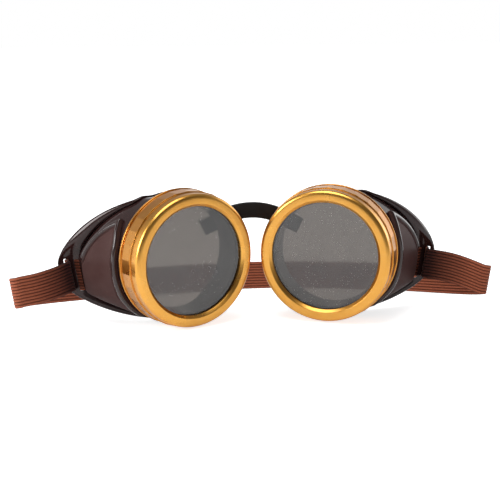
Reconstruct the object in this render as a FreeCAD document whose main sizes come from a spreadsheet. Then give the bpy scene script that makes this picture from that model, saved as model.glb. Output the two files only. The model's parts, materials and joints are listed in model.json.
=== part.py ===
"""Cup goggles: two eye cups with screwed lens rings, a nose bridge and an elastic strap.

The design frame has X to the right in a front view, Y from front to back and Z up, and starts
midway between the two lens apertures. Every piece is then set down so that the origin lies
under the middle of the whole part, on the table. Each cup has a frame of its own: x sideways,
y backwards along the lens axis from the front of its ring, z up.
"""
import FreeCAD, Part
import math
import os

import Sketcher
from FreeCAD import Placement, Rotation, Vector

# Driving dimensions in millimetres and degrees
SIZES = [
    # How the two cups stand to each other
    ("ring_gap", 5.3104),
    ("toe_in", 26.4),
    # Lens stack
    ("lens_radius", 25.0),
    ("lens_thick", 2.0),
    ("lens_chamfer", 0.3),
    ("lens_play", 0.3),
    ("lens_clear", 0.05),
    ("gasket_thick", 1.15),
    ("gasket_inset", 0.1),
    # Screw ring
    ("seat_width", 1.0),
    ("aperture_bevel", 1.2),
    ("aperture_land", 1.0),
    ("ring_wall", 2.4),
    ("bezel_round", 3.2),
    ("collar_length", 2.5),
    ("band_proud", 0.6),
    ("band_chamfer", 0.25),
    ("facets", 30),
    ("groove_width", 1.2),
    ("lip_proud", 0.8),
    ("lip_round", 0.8),
    ("ring_depth", 15.0),
    ("recess_clear", 0.5),
    # Thread between ring and neck
    ("thread_pitch", 3.0),
    ("thread_turns", 1.25),
    ("thread_height", 0.65),
    ("thread_root", 1.2),
    ("thread_tip", 0.7),
    ("thread_gap", 0.35),
    ("thread_sink", 0.3),
    ("thread_start", 1.6),
    # Eye cup, with depths measured from its shoulder behind the ring
    ("neck_step", 0.7),
    ("neck_wall", 2.6),
    ("shoulder_gap", 0.3),
    ("cup_inset", 0.6),
    ("cup_wall", 1.8),
    ("cup_mid_depth", 15.7),
    ("cup_mid_fill", 0.75),
    ("cup_end_depth", 42.7),
    ("brow_start_angle", 77.0),
    ("brow_round", 34.0),
    ("side_round", 60.0),
    ("cheek_start_angle", 84.0),
    ("cheek_round", 40.5),
    ("side_flare_top", 4.2),
    ("side_flare_low", 2.7),
    ("side_top", -2.5),
    ("side_low", -16.8),
    ("side_top_angle", 5.0),
    ("side_low_angle", 30.0),
    # Face rim and strap ear
    ("rim_sweep", 43.5),
    ("rim_offset", 0.2),
    ("rim_knee", -4.4),
    ("rim_brow_lean", 0.166),
    ("nasal_depth", 8.9),
    ("flange_front", 2.0),
    ("flange_thick", 2.2),
    ("flange_lap", 0.2),
    ("flange_brow_round", 41.0),
    ("flange_cheek_round", 43.6),
    ("ear_tip_flare", 11.6),
    ("ear_tip_height", -5.0),
    ("ear_low_flare", 8.3),
    ("ear_low_height", -17.3),
    ("slot_flare", 7.75),
    ("slot_width", 1.9),
    ("slot_height", 14.4),
    ("slot_centre", -10.2),
    ("slot_lean", 0.133),
    ("slot_front", 25.7),
    ("bar_width", 1.6),
    ("window_width", 2.0),
    # Vent cover on the temple side
    ("cover_gap", 0.15),
    ("cover_thick", 1.25),
    ("bead_proud", 0.9),
    ("bead_width", 2.3),
    ("cover_front", 1.9),
    ("cover_top", 17.5),
    ("cover_top_depth", 6.2),
    ("cover_top_round", 37.0),
    ("cover_bend", 9.0),
    ("cover_back", 26.3),
    ("cover_back_top", -1.0),
    ("cover_back_low", -16.5),
    ("cover_back_lean", 1.0),
    ("cover_low", -25.5),
    ("lug_radius", 1.3),
    ("lug_gap", 0.15),
    ("lug_length", 20.0),
    ("front_lug_depth", 7.2),
    ("front_lug_height", 9.0),
    ("front_lug_inset", 3.2),
    ("back_lug_depth", 22.2),
    ("back_lug_height", -9.0),
    ("back_lug_inset", 0.2),
    ("vent_length", 8.0),
    ("vent_height", 2.2),
    ("vent_depth", 9.7),
    ("vent_pitch", 5.5),
    ("vent_low", -13.0),
    ("vent_inset", 6.8),
    ("vent_reach", 22.0),
    # Nose bridge
    ("bridge_set_back", 0.3243),
    ("bridge_thick", 1.8),
    ("bridge_height", 7.2),
    ("bridge_crown", 16.8),
    ("bridge_radius", 29.7),
    ("bridge_angle", 26.0),
    ("bridge_tab_inset", 5.2),
    ("bridge_stop", 2.2),
    ("bridge_stop_length", 1.4),
    ("bridge_drop", 2.8),
    ("bridge_slot_gap", 0.3),
    ("bridge_slot_room", 1.6),
    ("bridge_slot_reach", 1.3786),
    ("bridge_slot_start", 4.0),
    # Elastic strap
    ("strap_width", 13.5),
    ("strap_thick", 1.2),
    ("strap_half_span", 106.6),
    ("strap_fold_depth", 10.0),
    ("strap_bow", 58.0),
    ("strap_fold_height", -14.6),
    ("strap_fold_skew", -1.1),
    ("strap_fold_radius", 2.4),
    ("strap_fold_lean", 0.15),
    ("strap_rise_power", 1.9),
    ("strap_rise_skew", 0.4),
    ("strap_lead_bend", 1.6),
    ("strap_lead_depth", 3.2),
    ("strap_hairpin", 1.0),
    ("strap_hairpin_depth", 0.7),
    ("strap_tail", 6.4),
]

SIDES = (("left", -1), ("right", 1))
REACH = 90.0                # how far helper blocks run past the part
VENTS = 3                   # slots under each vent cover
BACK_STATIONS = 12          # strap cross-sections in each half of the back
BEND_STATIONS = 5           # strap cross-sections in each bend


class Size:
    """A size that knows its value and the sheet formula that gives it."""

    def __init__(self, value, text):
        self.value = float(value)
        self.text = text

    @staticmethod
    def of(thing):
        return thing if isinstance(thing, Size) else Size(thing, repr(float(thing)))

    def __add__(self, other):
        other = Size.of(other)
        return Size(self.value + other.value, f"({self.text} + {other.text})")

    def __sub__(self, other):
        other = Size.of(other)
        return Size(self.value - other.value, f"({self.text} - {other.text})")

    def __mul__(self, other):
        other = Size.of(other)
        return Size(self.value * other.value, f"({self.text} * {other.text})")

    def __truediv__(self, other):
        other = Size.of(other)
        return Size(self.value / other.value, f"({self.text} / {other.text})")

    def __neg__(self):
        return self * -1


def sine(angle):
    return Size(math.sin(math.radians(angle.value)), f"sin({angle.text} * 1 deg)")


def cosine(angle):
    return Size(math.cos(math.radians(angle.value)), f"cos({angle.text} * 1 deg)")


def make_sheet():
    """Write the driving dimensions to a sheet and return them by name."""
    sheet = doc.addObject("Spreadsheet::Sheet", "dims")
    for row, (alias, value) in enumerate(SIZES, 1):
        sheet.set(f"A{row}", alias)
        sheet.set(f"B{row}", str(value))
        sheet.setAlias(f"B{row}", alias)
    doc.recompute()
    return {alias: Size(sheet.get(alias), f"dims.{alias}") for alias, _ in SIZES}


def bind(thing, **sizes):
    """Tie properties to the sheet; a double underscore stands for a dot in the name."""
    for name, size in sizes.items():
        thing.setExpression(name.replace("__", "."), Size.of(size).text)


doc = FreeCAD.newDocument("cup_goggles")
D = make_sheet()

# Radii about the lens axis, from the lens outwards
APERTURE = D["lens_radius"] - D["seat_width"]
RECESS = D["lens_radius"] + D["lens_play"]
NECK_RADIUS = RECESS + D["neck_step"]
NECK_BORE = NECK_RADIUS - D["neck_wall"]
RING_BORE = NECK_RADIUS + D["thread_height"] + D["thread_gap"]
BEZEL = RING_BORE + D["ring_wall"]
ROUND_CENTRE = BEZEL - D["bezel_round"]
BAND = BEZEL + D["band_proud"]
LIP = BEZEL + D["lip_proud"]
CUP_RADIUS = BEZEL - D["cup_inset"]
SLOT_REACH = CUP_RADIUS + D["slot_flare"]
BAND_HALF_TURN = Size(180, "180") / D["facets"]

# Depths along the lens axis from the front of the ring
SEAT = D["aperture_bevel"] + D["aperture_land"]
LENS_FRONT = SEAT + D["lens_clear"]
GASKET_FRONT = LENS_FRONT + D["lens_thick"]
NECK_FRONT = GASKET_FRONT + D["gasket_thick"]
BAND_FRONT = D["bezel_round"] + D["collar_length"]
BAND_BACK = D["ring_depth"] - D["lip_round"] * 2 - D["groove_width"]
SHOULDER = D["ring_depth"] + D["shoulder_gap"]
SHOULDER_BACK = SHOULDER + D["cup_wall"]
CUP_MIDDLE = SHOULDER + D["cup_mid_depth"]
CUP_END = SHOULDER + D["cup_end_depth"]
RIM_OFFSET = SHOULDER + D["rim_offset"]

# Where the cups and the bridge stand in the design frame
TOE_SINE = sine(D["toe_in"])
TOE_COSINE = cosine(D["toe_in"])
HALF_CENTRES = D["ring_gap"] / 2 + ROUND_CENTRE * TOE_COSINE + D["bezel_round"] - D["bezel_round"] * TOE_SINE
BRIDGE_FRONT = (SHOULDER + D["bridge_set_back"]) * TOE_COSINE + CUP_RADIUS * TOE_SINE
BRIDGE_END = HALF_CENTRES - D["bridge_tab_inset"]

# How the whole part is set down: middle of its depth over the origin, ring lips on the table
FRONT_REACH = ROUND_CENTRE * TOE_SINE + D["bezel_round"] - D["bezel_round"] * TOE_COSINE
BACK_REACH = D["strap_fold_depth"] + D["strap_bow"] + D["strap_thick"] / 2
SHIFT_Y = (FRONT_REACH - BACK_REACH) / 2
SHIFT_Z = LIP


def set_down(thing, side):
    """Put a piece drawn in a cup frame (side -1 or 1) or in the design frame (side 0) in place."""
    thing.Placement = Placement(Vector(0, 0, 0), Rotation(Vector(0, 0, 1), -side * D["toe_in"].value))
    bind(thing, Placement__Base__y=SHIFT_Y, Placement__Base__z=SHIFT_Z)
    if side:
        bind(thing, Placement__Base__x=HALF_CENTRES * side)
        bind(thing, Placement__Rotation__Angle=D["toe_in"] * -side)
    return thing


def arc_between(start, end, radius, turn):
    """Return the shorter arc from start to end; turn 1 runs anticlockwise, -1 clockwise."""
    first, last = (start, end) if turn > 0 else (end, start)
    chord = last - first
    rise = math.sqrt(max(radius * radius - chord.Length * chord.Length / 4, 0))
    inward = Vector(-chord.y, chord.x, 0) / chord.Length
    centre = (first + last) / 2 + inward * rise
    begin = math.atan2(first.y - centre.y, first.x - centre.x)
    finish = math.atan2(last.y - centre.y, last.x - centre.x)
    if finish < begin:
        finish += 2 * math.pi
    return Part.ArcOfCircle(Part.Circle(centre, Vector(0, 0, 1), radius), begin, finish)


def draw(sketch, corners):
    """Draw a closed outline of (u, v) or (u, v, radius, turn) corners, tied to the sheet.

    A radius and turn at a corner make the edge to the next corner an arc.
    """
    points = [Vector(Size.of(c[0]).value, Size.of(c[1]).value, 0) for c in corners]
    count = len(corners)
    edges = []
    for index, corner in enumerate(corners):
        start, end = points[index], points[(index + 1) % count]
        if len(corner) > 2:
            curve = arc_between(start, end, corner[2].value, corner[3])
            backwards = corner[3] < 0
        else:
            curve = Part.LineSegment(start, end)
            backwards = False
        edges.append((sketch.addGeometry(curve, False), 2 if backwards else 1, 1 if backwards else 2))
    for index, (edge, _, tail) in enumerate(edges):
        following, head, _ = edges[(index + 1) % count]
        sketch.addConstraint(Sketcher.Constraint("Coincident", edge, tail, following, head))
    for (edge, head, _), corner in zip(edges, corners):
        for kind, axis, size in (("DistanceX", -2, corner[0]), ("DistanceY", -1, corner[1])):
            size = Size.of(size)
            if size.value == 0:
                sketch.addConstraint(Sketcher.Constraint("PointOnObject", edge, head, axis))
                continue
            rule = sketch.addConstraint(Sketcher.Constraint(kind, -1, 1, edge, head, size.value))
            sketch.setExpression(f"Constraints[{rule}]", size.text)
        if len(corner) > 2:
            rule = sketch.addConstraint(Sketcher.Constraint("Radius", edge, corner[2].value))
            sketch.setExpression(f"Constraints[{rule}]", corner[2].text)


def body_sketch(body, role, name, corners, depth=None):
    """Add a sketch on one of a body's own origin planes, set off along its normal if asked."""
    plane = next(f for f in body.Origin.OriginFeatures if f.Role == role)
    sketch = body.newObject("Sketcher::SketchObject", name)
    sketch.AttachmentSupport = [(plane, "")]
    sketch.MapMode = "FlatFace"
    if depth is not None:
        bind(sketch, AttachmentOffset__Base__z=-depth)
    draw(sketch, corners)
    return sketch


def turned_body(name, corners):
    """Return a body turned about the lens axis from a (radius, depth) profile."""
    body = doc.addObject("PartDesign::Body", name)
    sketch = body_sketch(body, "XY_Plane", name + "_profile", corners)
    turn = body.newObject("PartDesign::Revolution", name + "_turned")
    turn.Profile = sketch
    turn.ReferenceAxis = (sketch, ["V_Axis"])
    turn.Angle = 360
    sketch.Visibility = False
    return body


def front_sketch(name, corners, depth):
    """Return a free sketch of (x, z) corners that faces forward at a depth."""
    sketch = doc.addObject("Sketcher::SketchObject", name)
    sketch.Placement = Placement(Vector(0, 0, 0), Rotation(Vector(1, 0, 0), 90))
    bind(sketch, Placement__Base__y=depth)
    draw(sketch, corners)
    return sketch


def side_sketch(name, corners):
    """Return a free sketch of (y, z) corners on the middle plane."""
    sketch = doc.addObject("Sketcher::SketchObject", name)
    sketch.Placement = Placement(Vector(0, 0, 0), Rotation(Vector(1, 1, 1), 120))
    draw(sketch, corners)
    return sketch


def extrude(name, sketch, forward, backward=0):
    """Return a solid drawn out along (forward) and against (backward) a sketch's normal."""
    solid = doc.addObject("Part::Extrusion", name)
    solid.Base = sketch
    solid.DirMode = "Normal"
    solid.Solid = True
    bind(solid, LengthFwd=forward, LengthRev=backward)
    return solid


def block(name, x_ends, y_ends, z_ends):
    """Return a box between pairs of sizes."""
    box = doc.addObject("Part::Box", name)
    low_x, high_x = sorted((Size.of(s) for s in x_ends), key=lambda size: size.value)
    bind(box, Length=high_x - low_x, Width=Size.of(y_ends[1]) - y_ends[0])
    bind(box, Height=Size.of(z_ends[1]) - z_ends[0])
    bind(box, Placement__Base__x=low_x, Placement__Base__y=y_ends[0], Placement__Base__z=z_ends[0])
    return box


def side_pin(name, side, radius, start, depth, height):
    """Return a pin that points sideways out of a cup."""
    pin = doc.addObject("Part::Cylinder", name)
    pin.Placement = Placement(Vector(0, 0, 0), Rotation(Vector(0, 1, 0), 90 * side))
    bind(pin, Radius=radius, Height=D["lug_length"])
    bind(pin, Placement__Base__x=start * side, Placement__Base__y=depth, Placement__Base__z=height)
    return pin


def join(kind, name, parts):
    """Return the union (MultiFuse) or the shared volume (MultiCommon) of several solids."""
    joined = doc.addObject("Part::" + kind, name)
    joined.Shapes = parts
    joined.Refine = False
    return joined


def cut(name, base, tool):
    """Return one solid less another."""
    result = doc.addObject("Part::Cut", name)
    result.Base = base
    result.Tool = tool
    result.Refine = False
    return result


def carve(name, base, tools):
    """Cut a row of tools out of a solid; the last cut carries the name."""
    for index, tool in enumerate(tools):
        last = index == len(tools) - 1
        base = cut(name if last else f"{name}_cut{index}", base, tool)
    return base


def thread(name, root, tip, start):
    """Return a right-hand ridge from a root radius to a tip radius, starting at a depth."""
    wide, narrow = D["thread_root"] / 2, D["thread_tip"] / 2
    profile = doc.addObject("Sketcher::SketchObject", name + "_profile")
    draw(profile, [(root, start - wide), (tip, start - narrow), (tip, start + narrow), (root, start + wide)])
    helix = doc.addObject("Part::Helix", name + "_helix")
    helix.Placement = Placement(Vector(0, 0, 0), Rotation(Vector(1, 0, 0), -90))
    helix.SegmentLength = 0
    bind(helix, Pitch=D["thread_pitch"], Height=D["thread_pitch"] * D["thread_turns"], Radius=root)
    bind(helix, Placement__Base__y=start)
    ridge = doc.addObject("Part::Sweep", name)
    ridge.Sections = [profile]
    ridge.Spine = (helix, ["Edge1"])
    ridge.Solid = True
    ridge.Frenet = True
    return ridge


def lens_ring(side_name, side):
    """Build one screw ring: bezel, faceted grip band, rear lip and inner thread."""
    lip, chamfer = LIP - D["lip_round"], D["band_chamfer"]
    step = NECK_FRONT - D["recess_clear"]
    lip_mid = D["ring_depth"] - D["lip_round"]
    body = turned_body(side_name + "_ring_body", [
        (APERTURE + D["aperture_bevel"], 0),
        (ROUND_CENTRE, 0, D["bezel_round"], 1),
        (BEZEL, D["bezel_round"]),
        (BEZEL, BAND_FRONT),
        (BAND - chamfer, BAND_FRONT),
        (BAND, BAND_FRONT + chamfer),
        (BAND, BAND_BACK - chamfer),
        (BAND - chamfer, BAND_BACK),
        (lip, BAND_BACK),
        (lip, lip_mid - D["lip_round"], D["lip_round"], 1),
        (LIP, lip_mid, D["lip_round"], 1),
        (lip, D["ring_depth"]),
        (RING_BORE, D["ring_depth"]),
        (RING_BORE, step),
        (RECESS, step),
        (RECESS, SEAT),
        (APERTURE, SEAT),
        (APERTURE, D["aperture_bevel"]),
    ])
    flat = BAND * cosine(BAND_HALF_TURN)
    half = BAND * sine(BAND_HALF_TURN) + chamfer
    outer = BAND + chamfer
    corners = [(flat, -half), (outer, -half), (outer, half), (flat, half)]
    sketch = body_sketch(body, "XZ_Plane", side_name + "_facet_profile", corners, BAND_FRONT)
    facet = body.newObject("PartDesign::Pocket", side_name + "_facet")
    facet.Profile = sketch
    bind(facet, Length=BAND_BACK - BAND_FRONT)
    row = body.newObject("PartDesign::PolarPattern", side_name + "_facets")
    row.Originals = [facet]
    row.Axis = (sketch, ["N_Axis"])
    row.Angle = 360
    bind(row, Occurrences=D["facets"])
    body.Tip = row
    start = NECK_FRONT + D["thread_start"] + D["thread_pitch"] / 2
    tip = NECK_RADIUS + D["thread_gap"]
    ridge = thread(side_name + "_ring_thread", RING_BORE + D["thread_sink"], tip, start)
    return set_down(join("MultiFuse", side_name + "_lens_ring", [body, ridge]), side)


def tinted_lens(side_name, side):
    """Build one flat round lens with broken edges."""
    front, chamfer, radius = LENS_FRONT, D["lens_chamfer"], D["lens_radius"]
    body = turned_body(side_name + "_tinted_lens", [
        (0, front),
        (radius - chamfer, front),
        (radius, front + chamfer),
        (radius, GASKET_FRONT - chamfer),
        (radius - chamfer, GASKET_FRONT),
        (0, GASKET_FRONT),
    ])
    return set_down(body, side)


def lens_gasket(side_name, side):
    """Build the flat rubber seat between a lens and its neck."""
    outer = D["lens_radius"] - D["gasket_inset"]
    body = turned_body(side_name + "_lens_gasket", [
        (NECK_BORE, GASKET_FRONT),
        (outer, GASKET_FRONT),
        (outer, NECK_FRONT),
        (NECK_BORE, NECK_FRONT),
    ])
    return set_down(body, side)


def cup_section(name, side, depth, fill, grow):
    """Return one cup outline: round at fill 0, drawn out to the temple at fill 1."""
    radius = CUP_RADIUS + grow
    top, low = D["side_top_angle"], D["side_low_angle"]

    def between(first, last):
        return first + (last - first) * fill

    side_low = (between(radius * cosine(low), radius + D["side_flare_low"]),
                between(-(radius * sine(low)), D["side_low"]))
    side_top = (between(radius * cosine(top), radius + D["side_flare_top"]),
                between(-(radius * sine(top)), D["side_top"]))
    brow = (radius * cosine(D["brow_start_angle"]), radius * sine(D["brow_start_angle"]))
    cheek = (radius * cosine(D["cheek_start_angle"]), -(radius * sine(D["cheek_start_angle"])))
    corners = [
        (side_low[0] * side, side_low[1], between(radius, D["side_round"] + grow), side),
        (side_top[0] * side, side_top[1], between(radius, D["brow_round"] + grow), side),
        (brow[0] * side, brow[1], radius, side),
        (-radius * side, 0, radius, side),
        (cheek[0] * side, cheek[1], between(radius, D["cheek_round"] + grow), side),
    ]
    return front_sketch(name, corners, depth)


def cup_loft(name, side, grow, front=SHOULDER):
    """Return the cup's outer form, grown by a distance, from a front depth to past its rim."""
    front_fill = D["cup_mid_fill"] * (front - SHOULDER) / D["cup_mid_depth"]
    loft = doc.addObject("Part::Loft", name)
    loft.Sections = [
        cup_section(name + "_front", side, front, front_fill, grow),
        cup_section(name + "_middle", side, CUP_MIDDLE, D["cup_mid_fill"], grow),
        cup_section(name + "_back", side, CUP_END, Size(1, "1"), grow),
    ]
    loft.Solid = True
    loft.Ruled = False
    return loft


def rim_block(name, side, inset):
    """Return the space behind the slanted face rim, moved forward by an inset."""
    front = RIM_OFFSET * cosine(D["rim_sweep"]) - inset
    brow = front - D["rim_brow_lean"] * (Size.of(REACH) - D["rim_knee"])
    sketch = side_sketch(name + "_outline", [
        (front, -REACH),
        (front + REACH, -REACH),
        (front + REACH, REACH),
        (brow, REACH),
        (front, D["rim_knee"]),
    ])
    space = extrude(name, sketch, REACH, REACH)
    space.Placement = Placement(Vector(0, 0, 0), Rotation(Vector(0, 0, 1), side * D["rim_sweep"].value))
    bind(space, Placement__Rotation__Angle=D["rim_sweep"] * side)
    return space


def flange(side_name, side):
    """Return the flat flared rim that carries the strap ear."""
    radius, brow, cheek = CUP_RADIUS + D["flange_lap"], D["brow_start_angle"], D["cheek_start_angle"]
    outline = front_sketch(side_name + "_flange_outline", [
        ((CUP_RADIUS + D["ear_low_flare"]) * side, D["ear_low_height"]),
        ((CUP_RADIUS + D["ear_tip_flare"]) * side, D["ear_tip_height"], D["flange_brow_round"], side),
        (radius * cosine(brow) * side, radius * sine(brow), radius, side),
        (-radius * side, 0, radius, side),
        (radius * cosine(cheek) * side, -(radius * sine(cheek)), D["flange_cheek_round"], side),
    ], SHOULDER + D["flange_front"])
    column = extrude(side_name + "_flange_column", outline, 0, D["cup_end_depth"] - D["flange_front"])
    plate = rim_block(side_name + "_flange_space", side, D["flange_thick"])
    return join("MultiCommon", side_name + "_flange", [column, plate])


def ear_slot(name, side, reach, width):
    """Return the cutter of one leaning strap slot."""
    half, lean = D["slot_height"] / 2, D["slot_lean"] * (D["slot_height"] / 2)
    low, high = D["slot_centre"] - half, D["slot_centre"] + half
    sketch = front_sketch(name + "_outline", [
        ((reach - lean - width / 2) * side, low),
        ((reach - lean + width / 2) * side, low),
        ((reach + lean + width / 2) * side, high),
        ((reach + lean - width / 2) * side, high),
    ], SHOULDER + D["slot_front"])
    return extrude(name, sketch, 0, D["cup_end_depth"])


def bridge_slot(name, side):
    """Return the cutter of the hole in the nasal wall that takes the nose bridge's tab.

    It lies square to the design frame, as the strip does, so it is turned back by the toe-in.
    """
    slope = TOE_SINE * side
    near, far = D["bridge_slot_start"], BRIDGE_END - D["bridge_slot_reach"]
    left_end = (near if side > 0 else -far) - HALF_CENTRES * side
    front = BRIDGE_FRONT - D["bridge_slot_gap"]
    middle = D["bridge_crown"] - D["bridge_drop"]
    half = D["bridge_height"] / 2 + D["bridge_slot_room"]
    box = doc.addObject("Part::Box", name)
    box.Placement = Placement(Vector(0, 0, 0), Rotation(Vector(0, 0, 1), side * D["toe_in"].value))
    bind(box, Length=far - near, Width=D["bridge_thick"] + D["bridge_slot_gap"] * 2, Height=half * 2)
    bind(box, Placement__Rotation__Angle=D["toe_in"] * side, Placement__Base__z=middle - half)
    bind(box, Placement__Base__x=left_end * TOE_COSINE - front * slope)
    bind(box, Placement__Base__y=left_end * slope + front * TOE_COSINE)
    return box


def lugs(name, side, grow):
    """Return the two pins that hold a vent cover, grown for their holes."""
    pins = []
    for place in ("front", "back"):
        start = CUP_RADIUS - D[place + "_lug_inset"]
        depth, height = SHOULDER + D[place + "_lug_depth"], D[place + "_lug_height"]
        pins.append(side_pin(f"{name}_{place}", side, D["lug_radius"] + grow, start, depth, height))
    return pins


def eye_cup(side_name, side):
    """Build one eye cup: threaded neck, flared body, face rim with a strap ear and its holes."""
    neck = turned_body(side_name + "_neck", [
        (NECK_BORE, NECK_FRONT),
        (NECK_RADIUS, NECK_FRONT),
        (NECK_RADIUS, SHOULDER_BACK - D["cup_wall"] / 2),
        (NECK_BORE, SHOULDER_BACK - D["cup_wall"] / 2),
    ])
    ridge = thread(side_name + "_neck_thread", NECK_RADIUS - D["thread_sink"],
                   NECK_RADIUS + D["thread_height"], NECK_FRONT + D["thread_start"])
    outside = cup_loft(side_name + "_cup_outside", side, Size(0, "0"))
    solid = join("MultiFuse", side_name + "_cup_solid", [outside, flange(side_name, side), neck, ridge])

    bore = doc.addObject("Part::Cylinder", side_name + "_neck_opening")
    bore.Placement = Placement(Vector(0, 0, 0), Rotation(Vector(1, 0, 0), -90))
    bind(bore, Radius=NECK_BORE, Height=SHOULDER_BACK + D["cup_wall"])
    nasal = SHOULDER + D["nasal_depth"]
    behind = block(side_name + "_behind_nose", (-REACH, REACH), (nasal, nasal + REACH), (-REACH, REACH))
    face = join("MultiCommon", side_name + "_face_space",
                [rim_block(side_name + "_rim_space", side, Size(0, "0")), behind])
    window = SLOT_REACH - D["slot_width"] / 2 - D["bar_width"] - D["window_width"] / 2
    tools = [
        cup_loft(side_name + "_cup_inside", side, -D["cup_wall"], SHOULDER_BACK),
        bore,
        face,
        ear_slot(side_name + "_strap_slot", side, SLOT_REACH, D["slot_width"]),
        ear_slot(side_name + "_strap_window", side, window, D["window_width"]),
        bridge_slot(side_name + "_bridge_slot", side),
    ]
    vent_start, vent_front = CUP_RADIUS - D["vent_inset"], SHOULDER + D["vent_depth"]
    for index in range(VENTS):
        low = D["vent_low"] + D["vent_pitch"] * index
        tools.append(block(f"{side_name}_vent_{index}",
                           (vent_start * side, (vent_start + D["vent_reach"]) * side),
                           (vent_front, vent_front + D["vent_length"]), (low, low + D["vent_height"])))
    tools += lugs(side_name + "_lug_hole", side, D["lug_gap"])
    return set_down(carve(side_name + "_eye_cup", solid, tools), side)


def vent_cover(side_name, side):
    """Build one temple panel: a curved plate over the vents with a raised bead and two lugs."""
    front, back = SHOULDER + D["cover_front"], SHOULDER + D["cover_back"]
    low, top, top_depth = D["cover_low"], D["cover_top"], SHOULDER + D["cover_top_depth"]
    bead = D["bead_width"]
    edge = [
        (front, low),
        (front, D["cover_bend"]),
        (top_depth, top, D["cover_top_round"], -1),
        (back, D["cover_back_top"]),
    ]
    panel = side_sketch(side_name + "_panel_outline",
                        [(back - D["cover_back_lean"], D["cover_back_low"])] + edge)
    rim = side_sketch(side_name + "_bead_outline", edge + [
        (back - bead * 0.6, D["cover_back_top"] - bead * 0.6, D["cover_top_round"] - bead, 1),
        (top_depth + bead * 0.2, top - bead * 1.3),
        (front + bead, D["cover_bend"] - bead * 0.25),
        (front + bead, low + bead * 0.35),
    ])
    lengths = (REACH, 0) if side > 0 else (0, REACH)
    plate = D["cover_gap"] + D["cover_thick"]
    plate_solid = join("MultiCommon", side_name + "_panel_solid", [
        extrude(side_name + "_panel_column", panel, *lengths),
        cup_loft(side_name + "_panel_outside", side, plate),
    ])
    bead_solid = join("MultiCommon", side_name + "_bead_solid", [
        extrude(side_name + "_bead_column", rim, *lengths),
        cup_loft(side_name + "_bead_outside", side, plate + D["bead_proud"]),
    ])
    solid = join("MultiFuse", side_name + "_cover_solid", [plate_solid, bead_solid])
    inside = cup_loft(side_name + "_cover_inside", side, D["cover_gap"])
    hollow = carve(side_name + "_cover_hollow", inside, lugs(side_name + "_lug", side, Size(0, "0")))
    return set_down(cut(side_name + "_vent_cover", solid, hollow), side)


def nose_bridge():
    """Build the arched strip between the cups, with a stop on the back of each tab end."""
    bend, half = D["bridge_angle"], D["bridge_height"] / 2
    tab = (BRIDGE_END - D["bridge_radius"] * sine(bend)) / cosine(bend)
    outer, inner = D["bridge_radius"] + half, D["bridge_radius"] - half
    centre = D["bridge_crown"] - D["bridge_radius"]

    def point(radius, run, side):
        along = radius * sine(bend) + run * cosine(bend)
        return along * side, centre + radius * cosine(bend) - run * sine(bend)

    none = Size(0, "0")
    body = doc.addObject("PartDesign::Body", "nose_bridge")
    strip_outline = body_sketch(body, "XZ_Plane", "bridge_outline", [
        point(inner, none, 1),
        point(inner, tab, 1),
        point(outer, tab, 1),
        point(outer, none, 1) + (outer, 1),
        point(outer, none, -1),
        point(outer, tab, -1),
        point(inner, tab, -1),
        point(inner, none, -1) + (inner, -1),
    ], BRIDGE_FRONT)
    strip = body.newObject("PartDesign::Pad", "bridge_strip")
    strip.Profile = strip_outline
    strip.Reversed = True
    bind(strip, Length=D["bridge_thick"])
    stop_outline = body_sketch(body, "XZ_Plane", "stop_outline", [], BRIDGE_FRONT + D["bridge_thick"])
    start = tab - D["bridge_stop_length"]
    for side in (1, -1):
        draw(stop_outline, [point(inner, start, side), point(inner, tab, side),
                            point(outer, tab, side), point(outer, start, side)])
    stops = body.newObject("PartDesign::Pad", "bridge_stops")
    stops.Profile = stop_outline
    stops.Reversed = True
    bind(stops, Length=D["bridge_stop"])
    body.Tip = stops
    return set_down(body, 0)


def value(name):
    return D[name].value


def arc_stations(centre, radius, begin, sweep):
    """Return (point, heading) pairs along an arc in the XY plane, its ends included."""
    stations = []
    for index in range(BEND_STATIONS + 1):
        angle = math.radians(begin + sweep * index / BEND_STATIONS)
        heading = angle + math.copysign(math.pi / 2, sweep)
        stations.append((centre + Vector(math.cos(angle), math.sin(angle), 0) * radius, heading))
    return stations


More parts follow.
